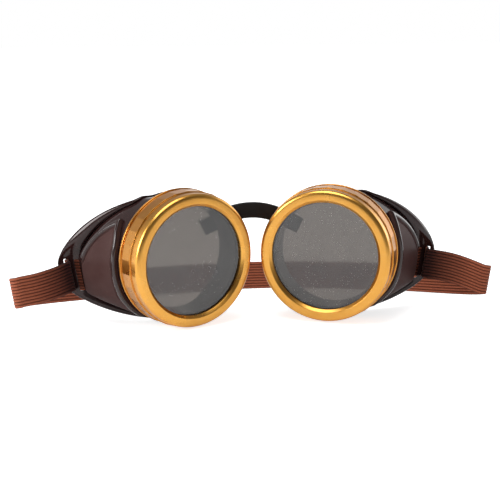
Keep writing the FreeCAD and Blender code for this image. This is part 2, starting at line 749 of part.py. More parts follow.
def strap_half(side):
    """Return the strap's cross-sections from the middle of the back to one tail."""
    bow, span = value("strap_bow"), value("strap_half_span")
    fold_depth, fold = value("strap_fold_depth"), value("strap_fold_radius")
    low = value("strap_width") / 2 - LIP.value
    fold_height = value("strap_fold_height") + side * value("strap_fold_skew")
    power = value("strap_rise_power") + side * value("strap_rise_skew")
    toe, sweep = value("toe_in"), math.radians(value("rim_sweep"))
    spin = Rotation(Vector(0, 0, 1), -toe)
    fold_lean = Vector(value("strap_fold_lean"), 0, 0)
    slot_lean = spin.multVec(Vector(1, math.tan(sweep), 0) * value("slot_lean"))
    rows = []

    def add(point, heading, height, lean):
        rows.append((Vector(point.x, point.y, height), heading, Vector(lean.x, lean.y, 1)))

    for index in range(BACK_STATIONS):
        turn = math.pi / 2 * index / BACK_STATIONS
        rise = 1 - math.cos(turn)
        heading = math.atan2(-bow * math.sin(turn), span * math.cos(turn))
        add(Vector(span * math.sin(turn), fold_depth + bow * math.cos(turn), 0), heading,
            low + (fold_height - low) * rise ** power, fold_lean * rise)

    # The slot lies in the cup frame, so its path is worked out there and then turned
    reach, bend = SLOT_REACH.value, value("strap_lead_bend")
    rim = RIM_OFFSET.value + math.tan(sweep) * reach
    corner = Vector(reach + bend, rim - value("strap_lead_depth"), 0)
    hairpin = value("strap_hairpin")
    pivot = Vector(reach - hairpin, rim - value("strap_hairpin_depth"), 0)
    shift = Vector(HALF_CENTRES.value, 0, 0)

    fold_centre = Vector(span - fold, fold_depth, 0)
    lead_centre = spin.multVec(corner) + shift
    gap = lead_centre - fold_centre
    cross = math.asin((fold - bend) / gap.Length)
    lead = math.degrees(math.atan2(gap.y, gap.x)) + math.degrees(cross)
    for point, heading in arc_stations(fold_centre, fold, 0, lead + 90 - 360):
        add(point, heading, fold_height, fold_lean)
    middle = value("slot_centre")
    for point, heading in arc_stations(lead_centre, bend, lead + 90, 90 - toe - lead):
        add(point, heading, middle, slot_lean)
    back = arc_stations(pivot, hairpin, 0, 90 + math.degrees(sweep))
    point, heading = back[-1]
    tail = point + Vector(math.cos(heading), math.sin(heading), 0) * value("strap_tail")
    for point, heading in back + [(tail, heading)]:
        add(spin.multVec(point) + shift, heading - math.radians(toe), middle, slot_lean)
    return rows


def strap_wire(row, side):
    """Return one rectangular cross-section of the strap, mirrored for the left side."""
    centre, heading, lean = row
    across = Vector(-math.sin(heading), math.cos(heading), 0) * (value("strap_thick") / 2)
    up = lean * (value("strap_width") / 2)
    corners = [centre - across - up, centre + across - up, centre + across + up, centre - across + up]
    corners = [Vector(corner.x * side, corner.y, corner.z) for corner in corners]
    return Part.makePolygon(corners + corners[:1])


def elastic_strap():
    """Build the woven strap as one ribbon drawn through its cross-sections."""
    left = [strap_wire(row, -1) for row in strap_half(-1)]
    right = [strap_wire(row, 1) for row in strap_half(1)]
    strap = doc.addObject("Part::Feature", "elastic_strap")
    strap.Shape = Part.makeLoft(left[:0:-1] + right, True, True)
    strap.Placement = Placement(Vector(0, SHIFT_Y.value, SHIFT_Z.value), Rotation())
    return strap


NODES = [nose_bridge(), elastic_strap()]
for side_label, side_sign in SIDES:
    for build in (eye_cup, lens_ring, tinted_lens, lens_gasket, vent_cover):
        NODES.append(build(side_label, side_sign))
doc.recompute()

for thing in doc.Objects:
    if "Invalid" in thing.State or "Error" in thing.State:
        raise SystemExit(f"{thing.Name} did not build: {thing.State}")
os.makedirs("parts", exist_ok=True)
for node in NODES:
    shape = node.Shape
    if shape.isNull() or not shape.isValid() or len(shape.Solids) != 1:
        raise SystemExit(f"{node.Label} is not one sound solid")
    shape.exportStep(f"parts/{node.Label}.step")
    box = shape.optimalBoundingBox()
    print(f"{node.Label}: {shape.Volume:.1f} mm3, x {box.XMin:.2f}..{box.XMax:.2f}, "
          f"y {box.YMin:.2f}..{box.YMax:.2f}, z {box.ZMin:.2f}..{box.ZMax:.2f}")
print(f"set down by y {SHIFT_Y.value:.4f} and z {SHIFT_Z.value:.4f}")
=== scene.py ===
"""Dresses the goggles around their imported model: rings, cups, panels, bridge, strap, finishes and light."""

import json
import logging
import math
from dataclasses import dataclass
from enum import Enum
from typing import Callable, ClassVar, Optional, Sequence, Union

import bmesh
import bpy
import numpy as np
from mathutils import Matrix, Vector


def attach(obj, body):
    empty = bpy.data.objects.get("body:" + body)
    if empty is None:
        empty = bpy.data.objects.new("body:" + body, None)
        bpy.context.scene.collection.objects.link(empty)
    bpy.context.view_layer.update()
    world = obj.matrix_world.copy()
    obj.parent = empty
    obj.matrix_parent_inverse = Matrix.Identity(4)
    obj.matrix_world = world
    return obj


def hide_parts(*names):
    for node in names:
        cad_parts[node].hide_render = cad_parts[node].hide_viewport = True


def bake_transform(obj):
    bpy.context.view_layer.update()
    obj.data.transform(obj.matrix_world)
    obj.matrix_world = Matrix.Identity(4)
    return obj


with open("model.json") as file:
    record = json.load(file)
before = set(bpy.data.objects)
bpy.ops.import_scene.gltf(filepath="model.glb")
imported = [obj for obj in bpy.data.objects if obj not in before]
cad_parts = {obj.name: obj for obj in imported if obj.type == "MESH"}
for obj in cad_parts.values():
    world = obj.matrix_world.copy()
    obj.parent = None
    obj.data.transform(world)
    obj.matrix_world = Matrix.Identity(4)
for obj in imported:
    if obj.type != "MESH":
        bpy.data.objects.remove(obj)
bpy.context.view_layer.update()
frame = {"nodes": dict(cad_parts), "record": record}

Pair = tuple[float, float]
Triple = tuple[float, float, float]
Colour = tuple[float, float, float]
Piece = bpy.types.Object
Material = bpy.types.Material
Node = bpy.types.Node
NodeTree = bpy.types.NodeTree
Socket = bpy.types.NodeSocket
Feed = Union[float, Sequence[float], Socket]
Feeds = dict[Union[str, int], Feed]

LOG = logging.getLogger("goggles")
MM = 0.001
CREASE = 32.0
CORNER_SHARE = 0.48
STRAP_RIBS = 10
WHITE: Colour = (1.0, 1.0, 1.0)


class Side(Enum):
    """Which half of the goggles a piece belongs to, with the sign of its x."""

    LEFT = -1
    RIGHT = 1

    @property
    def word(self) -> str:
        """Return the side's name as pieces and bodies spell it."""
        return self.name.lower()


def smooth_step(value: float) -> float:
    """Return value eased from 0 to 1, held at both ends."""
    held = min(max(value, 0.0), 1.0)
    return held * held * (3 - 2 * held)


def polar(degrees: float, radius: float) -> Pair:
    """Return a point on a circle about the lens axis."""
    return radius * math.cos(math.radians(degrees)), radius * math.sin(math.radians(degrees))


def ahead(heading: float) -> Vector:
    """Return the level direction of a heading."""
    return Vector((math.cos(heading), math.sin(heading), 0))


def across(heading: float) -> Vector:
    """Return the level direction square to a heading."""
    return Vector((-math.sin(heading), math.cos(heading), 0))


def arc_points(start: Pair, end: Pair, radius: float, count: int) -> list[Pair]:
    """Sample a counter-clockwise arc.

    Args:
        start: First point of the arc.
        end: Last point, which is left to the next arc.
        radius: Arc radius.
        count: How many points are returned.

    Returns:
        Points from start up to, and without, end.
    """
    first, last = np.array(start), np.array(end)
    chord = last - first
    length = float(np.hypot(*chord))
    inward = np.array((-chord[1], chord[0])) / length
    centre = (first + last) / 2 + inward * math.sqrt(max(radius * radius - length * length / 4, 0.0))
    begin = math.atan2(*(first - centre)[::-1])
    sweep = 2 * math.asin(min(length / (2 * radius), 1.0))
    angles = [begin + sweep * index / count for index in range(count)]
    return [(centre[0] + radius * math.cos(angle), centre[1] + radius * math.sin(angle)) for angle in angles]


def round_loop(corners: Sequence[Triple], steps: int = 4) -> list[Pair]:
    """Round the corners of a closed outline.

    Args:
        corners: Points with the radius of each corner.
        steps: How many chords make one rounded corner.

    Returns:
        The outline's points in order.
    """
    points: list[Pair] = []
    for index, (x, y, radius) in enumerate(corners):
        here = Vector((x, y))
        if radius <= 0:
            points.append((x, y))
            continue
        back = Vector(corners[index - 1][:2]) - here
        onward = Vector(corners[(index + 1) % len(corners)][:2]) - here
        half = back.angle(onward) / 2
        trim = min(radius / math.tan(half), CORNER_SHARE * back.length, CORNER_SHARE * onward.length)
        size = trim * math.tan(half)
        centre = here + (back.normalized() + onward.normalized()).normalized() * (size / math.sin(half))
        first = (here + back.normalized() * trim - centre) / size
        last = (here + onward.normalized() * trim - centre) / size
        sweep = math.pi - 2 * half
        square = (last - first * math.cos(sweep)) / math.sin(sweep)
        for step in range(steps + 1):
            turn = sweep * step / steps
            spot = centre + (first * math.cos(turn) + square * math.sin(turn)) * size
            points.append((spot.x, spot.y))
    return points


def round_box(low: Pair, high: Pair, radius: float, steps: int = 4) -> list[Pair]:
    """Return a rounded rectangle, counter-clockwise from its low corner."""
    corners = (low, (high[0], low[1]), high, (low[0], high[1]))
    return round_loop([(*corner, radius) for corner in corners], steps)


@dataclass(frozen=True)
class CupPlace:
    """Where one cup stands: local a goes to the temple, b to the rear and z up, all in millimetres."""

    side: Side
    centre: Vector
    temple: Vector
    rear: Vector

    @classmethod
    def from_record(cls, side: Side) -> "CupPlace":
        """Read a cup's place from the joint its ring turns on.

        Args:
            side: Which cup.

        Returns:
            The cup's place.
        """
        joints = frame["record"]["behaviour"]["joints"]
        joint = next(row for row in joints if row["name"] == f"{side.word}_ring_turn")
        rear = -Vector(joint["axis"]).normalized()
        temple = rear.cross(Vector((0, 0, 1))) * side.value
        return cls(side, Vector(joint["pos_m"]), temple, rear)

    def at(self, a: float, b: float, z: float) -> Vector:
        """Return a local point in metres in the shared frame."""
        return self.centre + (self.temple * a + self.rear * b + Vector((0, 0, z))) * MM

    def design(self, x: float, y: float, z: float) -> Vector:
        """Return a point of the design frame, mirrored to this side, in metres in the shared frame."""
        return Vector((x * MM * self.side.value, self.centre.y + y * MM, self.centre.z + z * MM))


class Draft:
    """A mesh being drawn up: points, faces and a flat map of each face corner."""

    def __init__(self) -> None:
        """Start with nothing drawn."""
        self.points: list[Vector] = []
        self.faces: list[tuple[int, ...]] = []
        self.corners: list[Optional[list[Pair]]] = []

    def grid(self, rows: Sequence[Sequence[Vector]], ring_rows: bool, ring_columns: bool,
             flat: Optional[Callable[[int, int], Pair]] = None) -> int:
        """Add a grid of quads.

        Args:
            rows: Rows of points, all of one length.
            ring_rows: Whether the last row joins the first.
            ring_columns: Whether each row closes on itself.
            flat: Gives the map place of a row and column, with one past the end for closed grids.

        Returns:
            The index of the grid's first point.
        """
        base, width = len(self.points), len(rows[0])
        for row in rows:
            self.points.extend(row)
        for i in range(len(rows) if ring_rows else len(rows) - 1):
            below = (i + 1) % len(rows)
            for j in range(width if ring_columns else width - 1):
                beside = (j + 1) % width
                self.faces.append((base + i * width + j, base + i * width + beside,
                                   base + below * width + beside, base + below * width + j))
                spots = [(i, j), (i, j + 1), (i + 1, j + 1), (i + 1, j)]
                self.corners.append([flat(*spot) for spot in spots] if flat else None)
        return base

    def face(self, indices: Sequence[int]) -> None:
        """Add one face through points already drawn."""
        self.faces.append(tuple(indices))
        self.corners.append(None)

    def sweep(self, rows: Sequence[Sequence[Vector]], flat: Optional[Callable[[int, int], Pair]] = None) -> None:
        """Add a closed section carried along rows, with both ends capped.

        Args:
            rows: The section at each place.
            flat: Gives the map place of a row and column.
        """
        base, count = self.grid(rows, False, True, flat), len(rows[0])
        last = base + (len(rows) - 1) * count
        self.face(range(base, base + count))
        self.face(range(last + count - 1, last - 1, -1))

    def prism(self, outline: Sequence[Vector], travel: Vector) -> None:
        """Add a closed prism.

        Args:
            outline: One end of the prism.
            travel: From that end to the other.
        """
        base, count = len(self.points), len(outline)
        self.points.extend(outline)
        self.points.extend(point + travel for point in outline)
        self.face(range(base + count - 1, base - 1, -1))
        self.face(range(base + count, base + 2 * count))
        for index in range(count):
            beside = (index + 1) % count
            self.face((base + index, base + beside, base + count + beside, base + count + index))

    def make(self, name: str, crease: float = CREASE) -> Piece:
        """Turn the draft into a shaded object with its faces turned outwards.

        Args:
            name: Name of the piece.
            crease: Angle in degrees above which an edge stays sharp.

        Returns:
            The new object, in the scene.
        """
        mesh = bpy.data.meshes.new(name)
        mesh.from_pydata([tuple(point) for point in self.points], [], self.faces)
        if any(self.corners):
            layer = mesh.uv_layers.new(name="flat")
            for polygon, spots in zip(mesh.polygons, self.corners):
                for loop, spot in zip(polygon.loop_indices, spots or [(0.0, 0.0)] * polygon.loop_total):
                    layer.data[loop].uv = spot
        mesh.validate()
        drawn = bmesh.new()
        drawn.from_mesh(mesh)
        bmesh.ops.recalc_face_normals(drawn, faces=drawn.faces)
        drawn.to_mesh(mesh)
        drawn.free()
        shade(mesh, crease)
        piece = bpy.data.objects.new(name, mesh)
        bpy.context.scene.collection.objects.link(piece)
        return piece


def shade(mesh: bpy.types.Mesh, crease: float) -> None:
    """Shade a mesh smooth, with its edges sharp above an angle in degrees."""
    mesh.shade_smooth()
    mesh.set_sharp_from_angle(angle=math.radians(crease))


def carve(piece: Piece, cutter: Piece) -> None:
    """Cut one object out of another and delete the cutter.

    Args:
        piece: What is cut.
        cutter: Closed shapes to take away.
    """
    change = piece.modifiers.new("holes", "BOOLEAN")
    change.operation = "DIFFERENCE"
    change.solver = "EXACT"
    change.object = cutter
    depsgraph = bpy.context.evaluated_depsgraph_get()
    mesh = bpy.data.meshes.new_from_object(piece.evaluated_get(depsgraph))
    piece.modifiers.clear()
    piece.data = mesh
    mesh.name = piece.name
    shade(mesh, CREASE)
    bpy.data.objects.remove(cutter)


def mark(piece: Piece, name: str, values: Sequence[float]) -> None:
    """Keep a value on each of a piece's first points, and nought on the rest.

    Args:
        piece: The piece.
        name: Name that its finish reads the value by.
        values: The values in the points' order.
    """
    rest = [0.0] * (len(piece.data.vertices) - len(values))
    marks = piece.data.attributes.new(name, "FLOAT", "POINT")
    marks.data.foreach_set("value", [*values, *rest])


def dress(piece: Piece, material: Material, slot: str, *nodes: str) -> None:
    """Give a new piece its finish and hide the nodes it stands for.

    Args:
        piece: The piece.
        material: Its finish.
        slot: The record's material slot; not used.
        *nodes: Nodes that the piece replaces.
    """
    piece.data.materials.clear()
    piece.data.materials.append(material)
    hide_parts(*nodes)


def dress_node(name: str, material: Material) -> Piece:
    """Give a node that keeps its own shape its finish.

    Args:
        name: The node.
        material: Its finish.

    Returns:
        The node's object.
    """
    kept = frame["nodes"][name]
    for slot in kept.material_slots:
        slot.material = material
    return kept


class Nodes:
    """Adds nodes to one tree and wires them."""

    def __init__(self, tree: NodeTree) -> None:
        """Keep the tree."""
        self.tree = tree

    def feed(self, node: Node, feeds: Feeds) -> None:
        """Link inputs of a node to other nodes, or set their plain values.

        Args:
            node: The node.
            feeds: What each input takes.
        """
        for name, feed in feeds.items():
            socket = node.inputs[name]
            if isinstance(feed, Socket):
                self.tree.links.new(feed, socket)
            elif isinstance(feed, (int, float)):
                socket.default_value = feed
            else:
                socket.default_value = (*feed, 1.0) if socket.type == "RGBA" and len(feed) == 3 else feed

    def add(self, kind: str, feeds: Optional[Feeds] = None, **settings: object) -> Node:
        """Add one node.

        Args:
            kind: Node type without its ShaderNode prefix.
            feeds: What each input takes.
            **settings: Attributes of the node.

        Returns:
            The node.
        """
        node = self.tree.nodes.new("ShaderNode" + kind)
        for name, setting in settings.items():
            setattr(node, name, setting)
        self.feed(node, feeds or {})
        return node

    def place(self, group: NodeTree, **feeds: Feed) -> Node:
        """Place a shared group with its own values."""
        return self.add("Group", feeds, node_tree=group)

    def sum(self, operation: str, first: Feed, second: Feed = 0.0, clamp: bool = False) -> Socket:
        """Return the result of a Math node."""
        return self.add("Math", {0: first, 1: second}, operation=operation, use_clamp=clamp).outputs[0]

    def times(self, first: Feed, second: Feed, clamp: bool = False) -> Socket:
        """Return two values multiplied."""
        return self.sum("MULTIPLY", first, second, clamp)

    def most(self, *feeds: Feed) -> Socket:
        """Return the largest of some values.

        Args:
            *feeds: The values, two or more.

        Returns:
            The largest.
        """
        largest = feeds[0]
        for feed in feeds[1:]:
            largest = self.sum("MAXIMUM", largest, feed)
        return largest

    def blend(self, amount: Feed, first: Feed, second: Feed, blend_type: str = "MIX") -> Socket:
        """Return two colours mixed by an amount."""
        feeds = {0: amount, 6: first, 7: second}
        return self.add("Mix", feeds, data_type="RGBA", blend_type=blend_type).outputs[2]

    def spread(self, feed: Feed, low: float = 0.0, high: float = 1.0, to_low: float = 0.0,
               to_high: float = 1.0) -> Socket:
        """Return a value carried from one span to another and held at its ends."""
        feeds = {"Value": feed, "From Min": low, "From Max": high, "To Min": to_low, "To Max": to_high}
        return self.add("MapRange", feeds, clamp=True).outputs[0]

    def noise(self, spot: Socket, scale: Feed, detail: float, roughness: float = 0.5) -> Node:
        """Add a noise texture read at a place."""
        feeds = {"Vector": spot, "Scale": scale, "Detail": detail, "Roughness": roughness}
        return self.add("TexNoise", feeds)


class Group(Nodes):
    """A shared effect being built, read at each point of the object."""

    def __init__(self, name: str, inputs: dict[str, float], outputs: Sequence[str]) -> None:
        """Start the effect.

        Args:
            name: Name of the group.
            inputs: Its number inputs with their defaults.
            outputs: Its number outputs.
        """
        super().__init__(bpy.data.node_groups.new(name, "ShaderNodeTree"))
        new_socket = self.tree.interface.new_socket
        for label, default in inputs.items():
            new_socket(name=label, in_out="INPUT", socket_type="NodeSocketFloat").default_value = default
        for label in outputs:
            new_socket(name=label, in_out="OUTPUT", socket_type="NodeSocketFloat")
        self.given = self.tree.nodes.new("NodeGroupInput").outputs
        self.target = self.tree.nodes.new("NodeGroupOutput")
        self.spot = self.add("TexCoord").outputs["Object"]

    def close(self, **feeds: Feed) -> NodeTree:
        """Wire the outputs and return the finished group."""
        self.feed(self.target, feeds)
        return self.tree


class Effects:
    """The effects that more than one finish uses."""

    def __init__(self) -> None:
        """Build each group once."""
        self.grain = self.build_grain()
        self.dust = self.build_dust()
        self.wear = self.build_wear()

    @staticmethod
    def build_grain() -> NodeTree:
        """Build a fine moulded grain with a slow change of tone.

        Returns:
            The group.
        """
        group = Group("surface_grain", {"Scale": 2500.0, "Drift": 60.0}, ("Height", "Tone"))
        fine = group.noise(group.spot, group.given["Scale"], detail=3.0, roughness=0.6).outputs[0]
        slow = group.noise(group.spot, group.given["Drift"], detail=4.0, roughness=0.55).outputs[0]
        return group.close(Height=fine, Tone=group.spread(slow, low=0.3, high=0.7))

    @staticmethod
    def build_dust() -> NodeTree:
        """Build scattered specks that gather in soft patches.

        Returns:
            The group.
        """
        group = Group("dust_specks", {"Scale": 700.0, "Amount": 0.5}, ("Mask",))
        cells = group.add("TexVoronoi", {"Vector": group.spot, "Scale": group.given["Scale"]}).outputs
        pick = group.add("SeparateColor", {"Color": cells["Color"]}).outputs[0]
        size = group.spread(pick, low=0.72, to_high=0.30)
        speck = group.sum("GREATER_THAN", size, cells["Distance"])
        patch = group.noise(group.spot, scale=70.0, detail=2.0).outputs[0]
        strength = group.times(group.spread(patch, low=0.38, high=0.66), group.given["Amount"])
        return group.close(Mask=group.times(speck, strength, clamp=True))

    @staticmethod
    def build_wear() -> NodeTree:
        """Build thin rubbed hairlines.

        Returns:
            The group.
        """
        group = Group("hairline_wear", {"Scale": 300.0, "Amount": 0.5}, ("Mask",))
        bent = group.noise(group.spot, scale=90.0, detail=2.0).outputs["Color"]
        offset = group.add("VectorMath", {0: bent, "Scale": 0.006}, operation="SCALE").outputs[0]
        shifted = group.add("VectorMath", {0: group.spot, 1: offset}).outputs[0]
        stretched = group.add("VectorMath", {0: shifted, 1: (0.12, 0.12, 1.0)}, operation="MULTIPLY").outputs[0]
        lines = group.noise(stretched, group.given["Scale"], detail=5.0, roughness=0.7).outputs[0]
        near = group.sum("ABSOLUTE", group.sum("SUBTRACT", lines, 0.5))
        line = group.spread(near, low=0.004, high=0.016, to_low=1.0, to_high=0.0)
        return group.close(Mask=group.times(line, group.given["Amount"], clamp=True))


class Bench(Nodes):
    """A material being made: its nodes, its shader and the shared effects."""

    def __init__(self, name: str, effects: Optional[Effects] = None) -> None:
        """Start the material with a plain shader.

        Args:
            name: Name of the material.
            effects: The shared effects, where it uses them.
        """
        self.material = bpy.data.materials.new(name)
        self.material.use_nodes = True
        super().__init__(self.material.node_tree)
        self.tree.nodes.clear()
        self.effects = effects
        self.shader = self.add("BsdfPrincipled")
        self.add("OutputMaterial", {"Surface": self.shader.outputs[0]})

    def grain(self, size: Pair) -> tuple[Socket, Socket]:
        """Place the grain by scale and drift, and return its height and its tone."""
        outputs = self.place(self.effects.grain, Scale=size[0], Drift=size[1]).outputs
        return outputs["Height"], outputs["Tone"]

    def dust(self, size: Pair) -> Socket:
        """Place the dust by scale and amount, and return its mask."""
        return self.place(self.effects.dust, Scale=size[0], Amount=size[1]).outputs["Mask"]

    def wear(self, size: Pair) -> Socket:
        """Place the hairlines by scale and amount, and return their mask."""
        return self.place(self.effects.wear, Scale=size[0], Amount=size[1]).outputs["Mask"]

    def carried(self, name: str) -> Socket:
        """Return a value that the piece's points carry."""
        return self.add("Attribute", attribute_name=name).outputs["Fac"]

    def coat(self, feeds: Feeds) -> None:
        """Set or link the shader's own sockets."""
        self.feed(self.shader, feeds)

    def emboss(self, height: Feed, relief: Pair) -> None:
        """Bump the surface by a height, to a strength and a depth in metres."""
        bump = self.add("Bump", {"Height": height, "Strength": relief[0], "Distance": relief[1]})
        self.coat({"Normal": bump.outputs[0]})


@dataclass(frozen=True, kw_only=True)
class Finish:
    """What all finishes have: a name, and dust of some scale, amount and tone."""

    name: str
    dust: Pair
    dust_tone: Colour

    def make(self, effects: Effects) -> Material:
        """Build the material.

        Args:
            effects: The shared effects.

        Returns:
            The material.
        """
        bench = Bench(self.name, effects)
        self.paint(bench)
        return bench.material

    def paint(self, bench: Bench) -> None:
        """Wire the finish's own nodes, which each kind of finish does in its own way."""
        raise NotImplementedError


@dataclass(frozen=True, kw_only=True)
class GoldCoat(Finish):
    """Brushed gold coat of the screw rings, painted deeper from the grip band back as the band's reflection of the
    dark cup.
    """

    name: str = "gold_coat"
    grain: Pair = (3600.0, 45.0)
    wear: Pair = (420.0, 0.35)
    dust: Pair = (900.0, 0.25)
    dust_tone: Colour = (0.55, 0.40, 0.22)
    dust_dull: float = 0.3
    relief: Pair = (0.10, 0.00002)
    body: Colour = (0.83, 0.415, 0.080)
    warm: Colour = (0.68, 0.295, 0.038)
    warm_share: float = 0.55
    # Painted reflection: the deeper gold stands in for the grip band's reflection of the dark cup.
    deep: Colour = (0.56, 0.205, 0.020)
    deep_share: float = 0.65
    scratch: Colour = (0.92, 0.62, 0.22)
    scratch_share: float = 0.35
    scratch_depth: float = -0.4
    smooth: float = 0.25
    dull: float = 0.33
    lacquer: float = 0.30
    lacquer_rough: float = 0.10

    def paint(self, bench: Bench) -> None:
        """Wire the gold.

        Args:
            bench: The material being made.
        """
        height, tone = bench.grain(self.grain)
        wear, dust = bench.wear(self.wear), bench.dust(self.dust)
        colour = bench.blend(bench.times(tone, self.warm_share), self.body, self.warm)
        # Painted reflection: the grip band is mixed towards the deeper gold.
        colour = bench.blend(bench.times(bench.carried("grip"), self.deep_share), colour, self.deep)
        colour = bench.blend(bench.times(wear, self.scratch_share), colour, self.scratch)
        rough = bench.spread(tone, to_low=self.smooth, to_high=self.dull)
        bench.coat({
            "Base Color": bench.blend(dust, colour, self.dust_tone),
            "Roughness": bench.sum("ADD", rough, bench.times(dust, self.dust_dull), True),
            "Metallic": 1.0,
            "Coat Weight": self.lacquer,
            "Coat Roughness": self.lacquer_rough,
        })
        bench.emboss(bench.sum("ADD", height, bench.times(wear, self.scratch_depth)), self.relief)


@dataclass(frozen=True, kw_only=True)
class Moulding(Finish):
    """Moulded plastic: gloss for the cups, satin with a polished bead for the temple panels."""

    body: Colour
    light: Colour
    smooth: float
    dull: float
    gloss: float
    shine: float
    grain: Pair
    relief: Pair
    polish: Optional[str] = None
    wear: Pair = (260.0, 0.35)
    dust: Pair = (800.0, 0.35)
    dust_tone: Colour = (0.20, 0.17, 0.15)
    dust_share: float = 0.5
    dust_dull: float = 0.25
    wear_share: float = 0.3
    wear_dull: float = 0.12
    gloss_rough: float = 0.06
    rubbed: Colour = (0.016, 0.0080, 0.0074)
    rubbed_share: float = 0.75
    rubbed_rough: float = 0.30
    gleam: Colour = (1.0, 0.86, 0.83)

    def paint(self, bench: Bench) -> None:
        """Wire the plastic.

        Args:
            bench: The material being made.
        """
        height, tone = bench.grain(self.grain)
        wear, dust = bench.wear(self.wear), bench.dust(self.dust)
        colour = bench.blend(tone, self.body, self.light)
        colour = bench.blend(bench.times(wear, self.wear_share), colour, self.light)
        colour = bench.blend(bench.times(dust, self.dust_share), colour, self.dust_tone)
        rough = bench.spread(tone, to_low=self.smooth, to_high=self.dull)
        rough = bench.sum("ADD", rough, bench.times(wear, self.wear_dull))
        rough = bench.sum("ADD", rough, bench.times(dust, self.dust_dull), True)
        gloss: Feed = self.gloss
        if self.polish:
            rubbed = bench.carried(self.polish)
            rough = bench.times(rough, bench.spread(rubbed, to_low=1.0, to_high=self.rubbed_rough))
            gloss = bench.spread(rubbed, high=0.6, to_low=self.gloss)
            share = bench.spread(rubbed, low=0.1, high=0.7, to_high=self.rubbed_share)
            colour = bench.blend(share, colour, self.rubbed)
        bench.coat({
            "Base Color": colour,
            "Roughness": rough,
            "Coat Weight": gloss,
            "Coat Roughness": self.gloss_rough,
            "Specular IOR Level": self.shine,
            "Specular Tint": self.gleam,
        })
        bench.emboss(height, self.relief)


@dataclass(frozen=True, kw_only=True)
class LensTint(Finish):
    """Grey tinted lens with dust on it."""

    wear: Pair = (200.0, 0.08)
    wear_haze: float = 0.10
    dust_tone: Colour = (0.75, 0.72, 0.66)
    dust_haze: float = 0.35
    tint: Colour = (0.102, 0.086, 0.074)
    haze: float = 0.09
    ior: float = 1.52
    polish_rough: float = 0.02

    def paint(self, bench: Bench) -> None:
        """Wire the lens.

        Args:
            bench: The material being made.
        """
        dust, wear = bench.dust(self.dust), bench.wear(self.wear)
        haze = bench.sum("ADD", bench.times(dust, self.dust_haze), bench.times(wear, self.wear_haze))
        bench.coat({
            "Base Color": bench.blend(dust, self.tint, self.dust_tone),
            "Roughness": bench.sum("ADD", haze, self.haze, True),
            "Transmission Weight": 1.0,
            "IOR": self.ior,
            "Coat Weight": 1.0,
            "Coat Roughness": self.polish_rough,
        })


@dataclass(frozen=True, kw_only=True)
class SoftRubber(Finish):
    """Matte rubber of the bridge and the gaskets."""

    body: Colour
    bloom: Colour
    dull: float
    dull_range: float = 0.12
    grain: Pair = (1800.0, 120.0)
    dust: Pair = (1200.0, 0.4)
    dust_tone: Colour = (0.16, 0.15, 0.14)
    dust_share: float = 0.4
    relief: Pair = (0.35, 0.0001)
    shine: float = 0.28

    def paint(self, bench: Bench) -> None:
        """Wire the rubber.

        Args:
            bench: The material being made.
        """
        height, tone = bench.grain(self.grain)
        dust = bench.times(bench.dust(self.dust), self.dust_share)
        bench.coat({
            "Base Color": bench.blend(dust, bench.blend(tone, self.body, self.bloom), self.dust_tone),
            "Roughness": bench.spread(tone, to_low=self.dull - self.dull_range, to_high=self.dull),
            "Specular IOR Level": self.shine,
        })
        bench.emboss(height, self.relief)


@dataclass(frozen=True, kw_only=True)
class WovenElastic(Finish):
    """Ribbed woven elastic, mapped in millimetres from the ear's slot and from 0 to 1 across the strap."""

    name: str = "woven_elastic"
    grain: Pair = (1500.0, 45.0)
    dust: Pair = (1500.0, 0.5)
    dust_tone: Colour = (0.50, 0.30, 0.20)
    dust_share: float = 0.3
    relief: Pair = (0.6, 0.0002)
    ridge: Colour = (0.500, 0.136, 0.066)
    # Colour between the ribs, darkened as painted shade in the grooves.
    valley: Colour = (0.105, 0.026, 0.012)
    # Painted shade colour, multiplied into the strap by the ear's slot.
    shaded: Colour = (0.10, 0.055, 0.05)
    faded: Colour = (0.34, 0.105, 0.052)
    faded_share: float = 0.12
    thread: float = 0.62
    stagger: float = 0.5
    valley_rough: float = 0.95
    ridge_rough: float = 0.72
    sheen: float = 0.06
    sheen_rough: float = 0.45
    shine: float = 0.25

    def paint(self, bench: Bench) -> None:
        """Wire the ribs with painted shade in their grooves, the cross threads and the shade by the ear.

        Args:
            bench: The material being made.
        """
        flat = bench.add("SeparateXYZ", {0: bench.add("UVMap", uv_map="flat").outputs[0]})
        along, over = flat.outputs[0], flat.outputs[1]
        height, tone = bench.grain(self.grain)
        dust = bench.times(bench.dust(self.dust), self.dust_share)
        lane = bench.times(over, float(STRAP_RIBS))
        wave = bench.sum("SINE", bench.times(lane, math.pi))
        crown = bench.spread(bench.times(wave, wave), low=0.02, high=0.80)
        shift = bench.times(bench.sum("FLOOR", lane), self.stagger)
        pick = bench.sum("ADD", bench.sum("DIVIDE", along, self.thread), shift)
        stitch = bench.sum("ABSOLUTE", bench.sum("SINE", bench.times(pick, math.pi)))
        loft = bench.times(crown, bench.spread(stitch, to_low=0.6))
        fibre = bench.spread(height, low=0.3, high=0.7, to_low=0.75, to_high=1.1)
        weave = bench.times(loft, fibre, clamp=True)
        # Painted shade: the valley colour darkens the grooves between the ribs; the cross-thread stitch along the
        # ribs is the weave's own pattern.
        colour = bench.blend(weave, self.valley, self.ridge)
        colour = bench.blend(bench.times(tone, self.faded_share), colour, self.faded)
        colour = bench.blend(dust, colour, self.dust_tone)
        # Painted shade: the strap is multiplied by the shaded colour, rising over the last 22 mm before the ear's
        # slot, and by part of it on the tail tucked under the panel.
        before = bench.spread(along, low=-22.0, high=-1.5)
        beyond = bench.spread(along, low=1.5, high=5.0, to_low=1.0, to_high=0.6)
        bench.coat({
            "Base Color": bench.blend(bench.times(before, beyond), colour, self.shaded, "MULTIPLY"),
            "Roughness": bench.spread(weave, to_low=self.valley_rough, to_high=self.ridge_rough),
            "Sheen Weight": self.sheen,
            "Sheen Roughness": self.sheen_rough,
            "Specular IOR Level": self.shine,
        })
        bench.emboss(weave, self.relief)


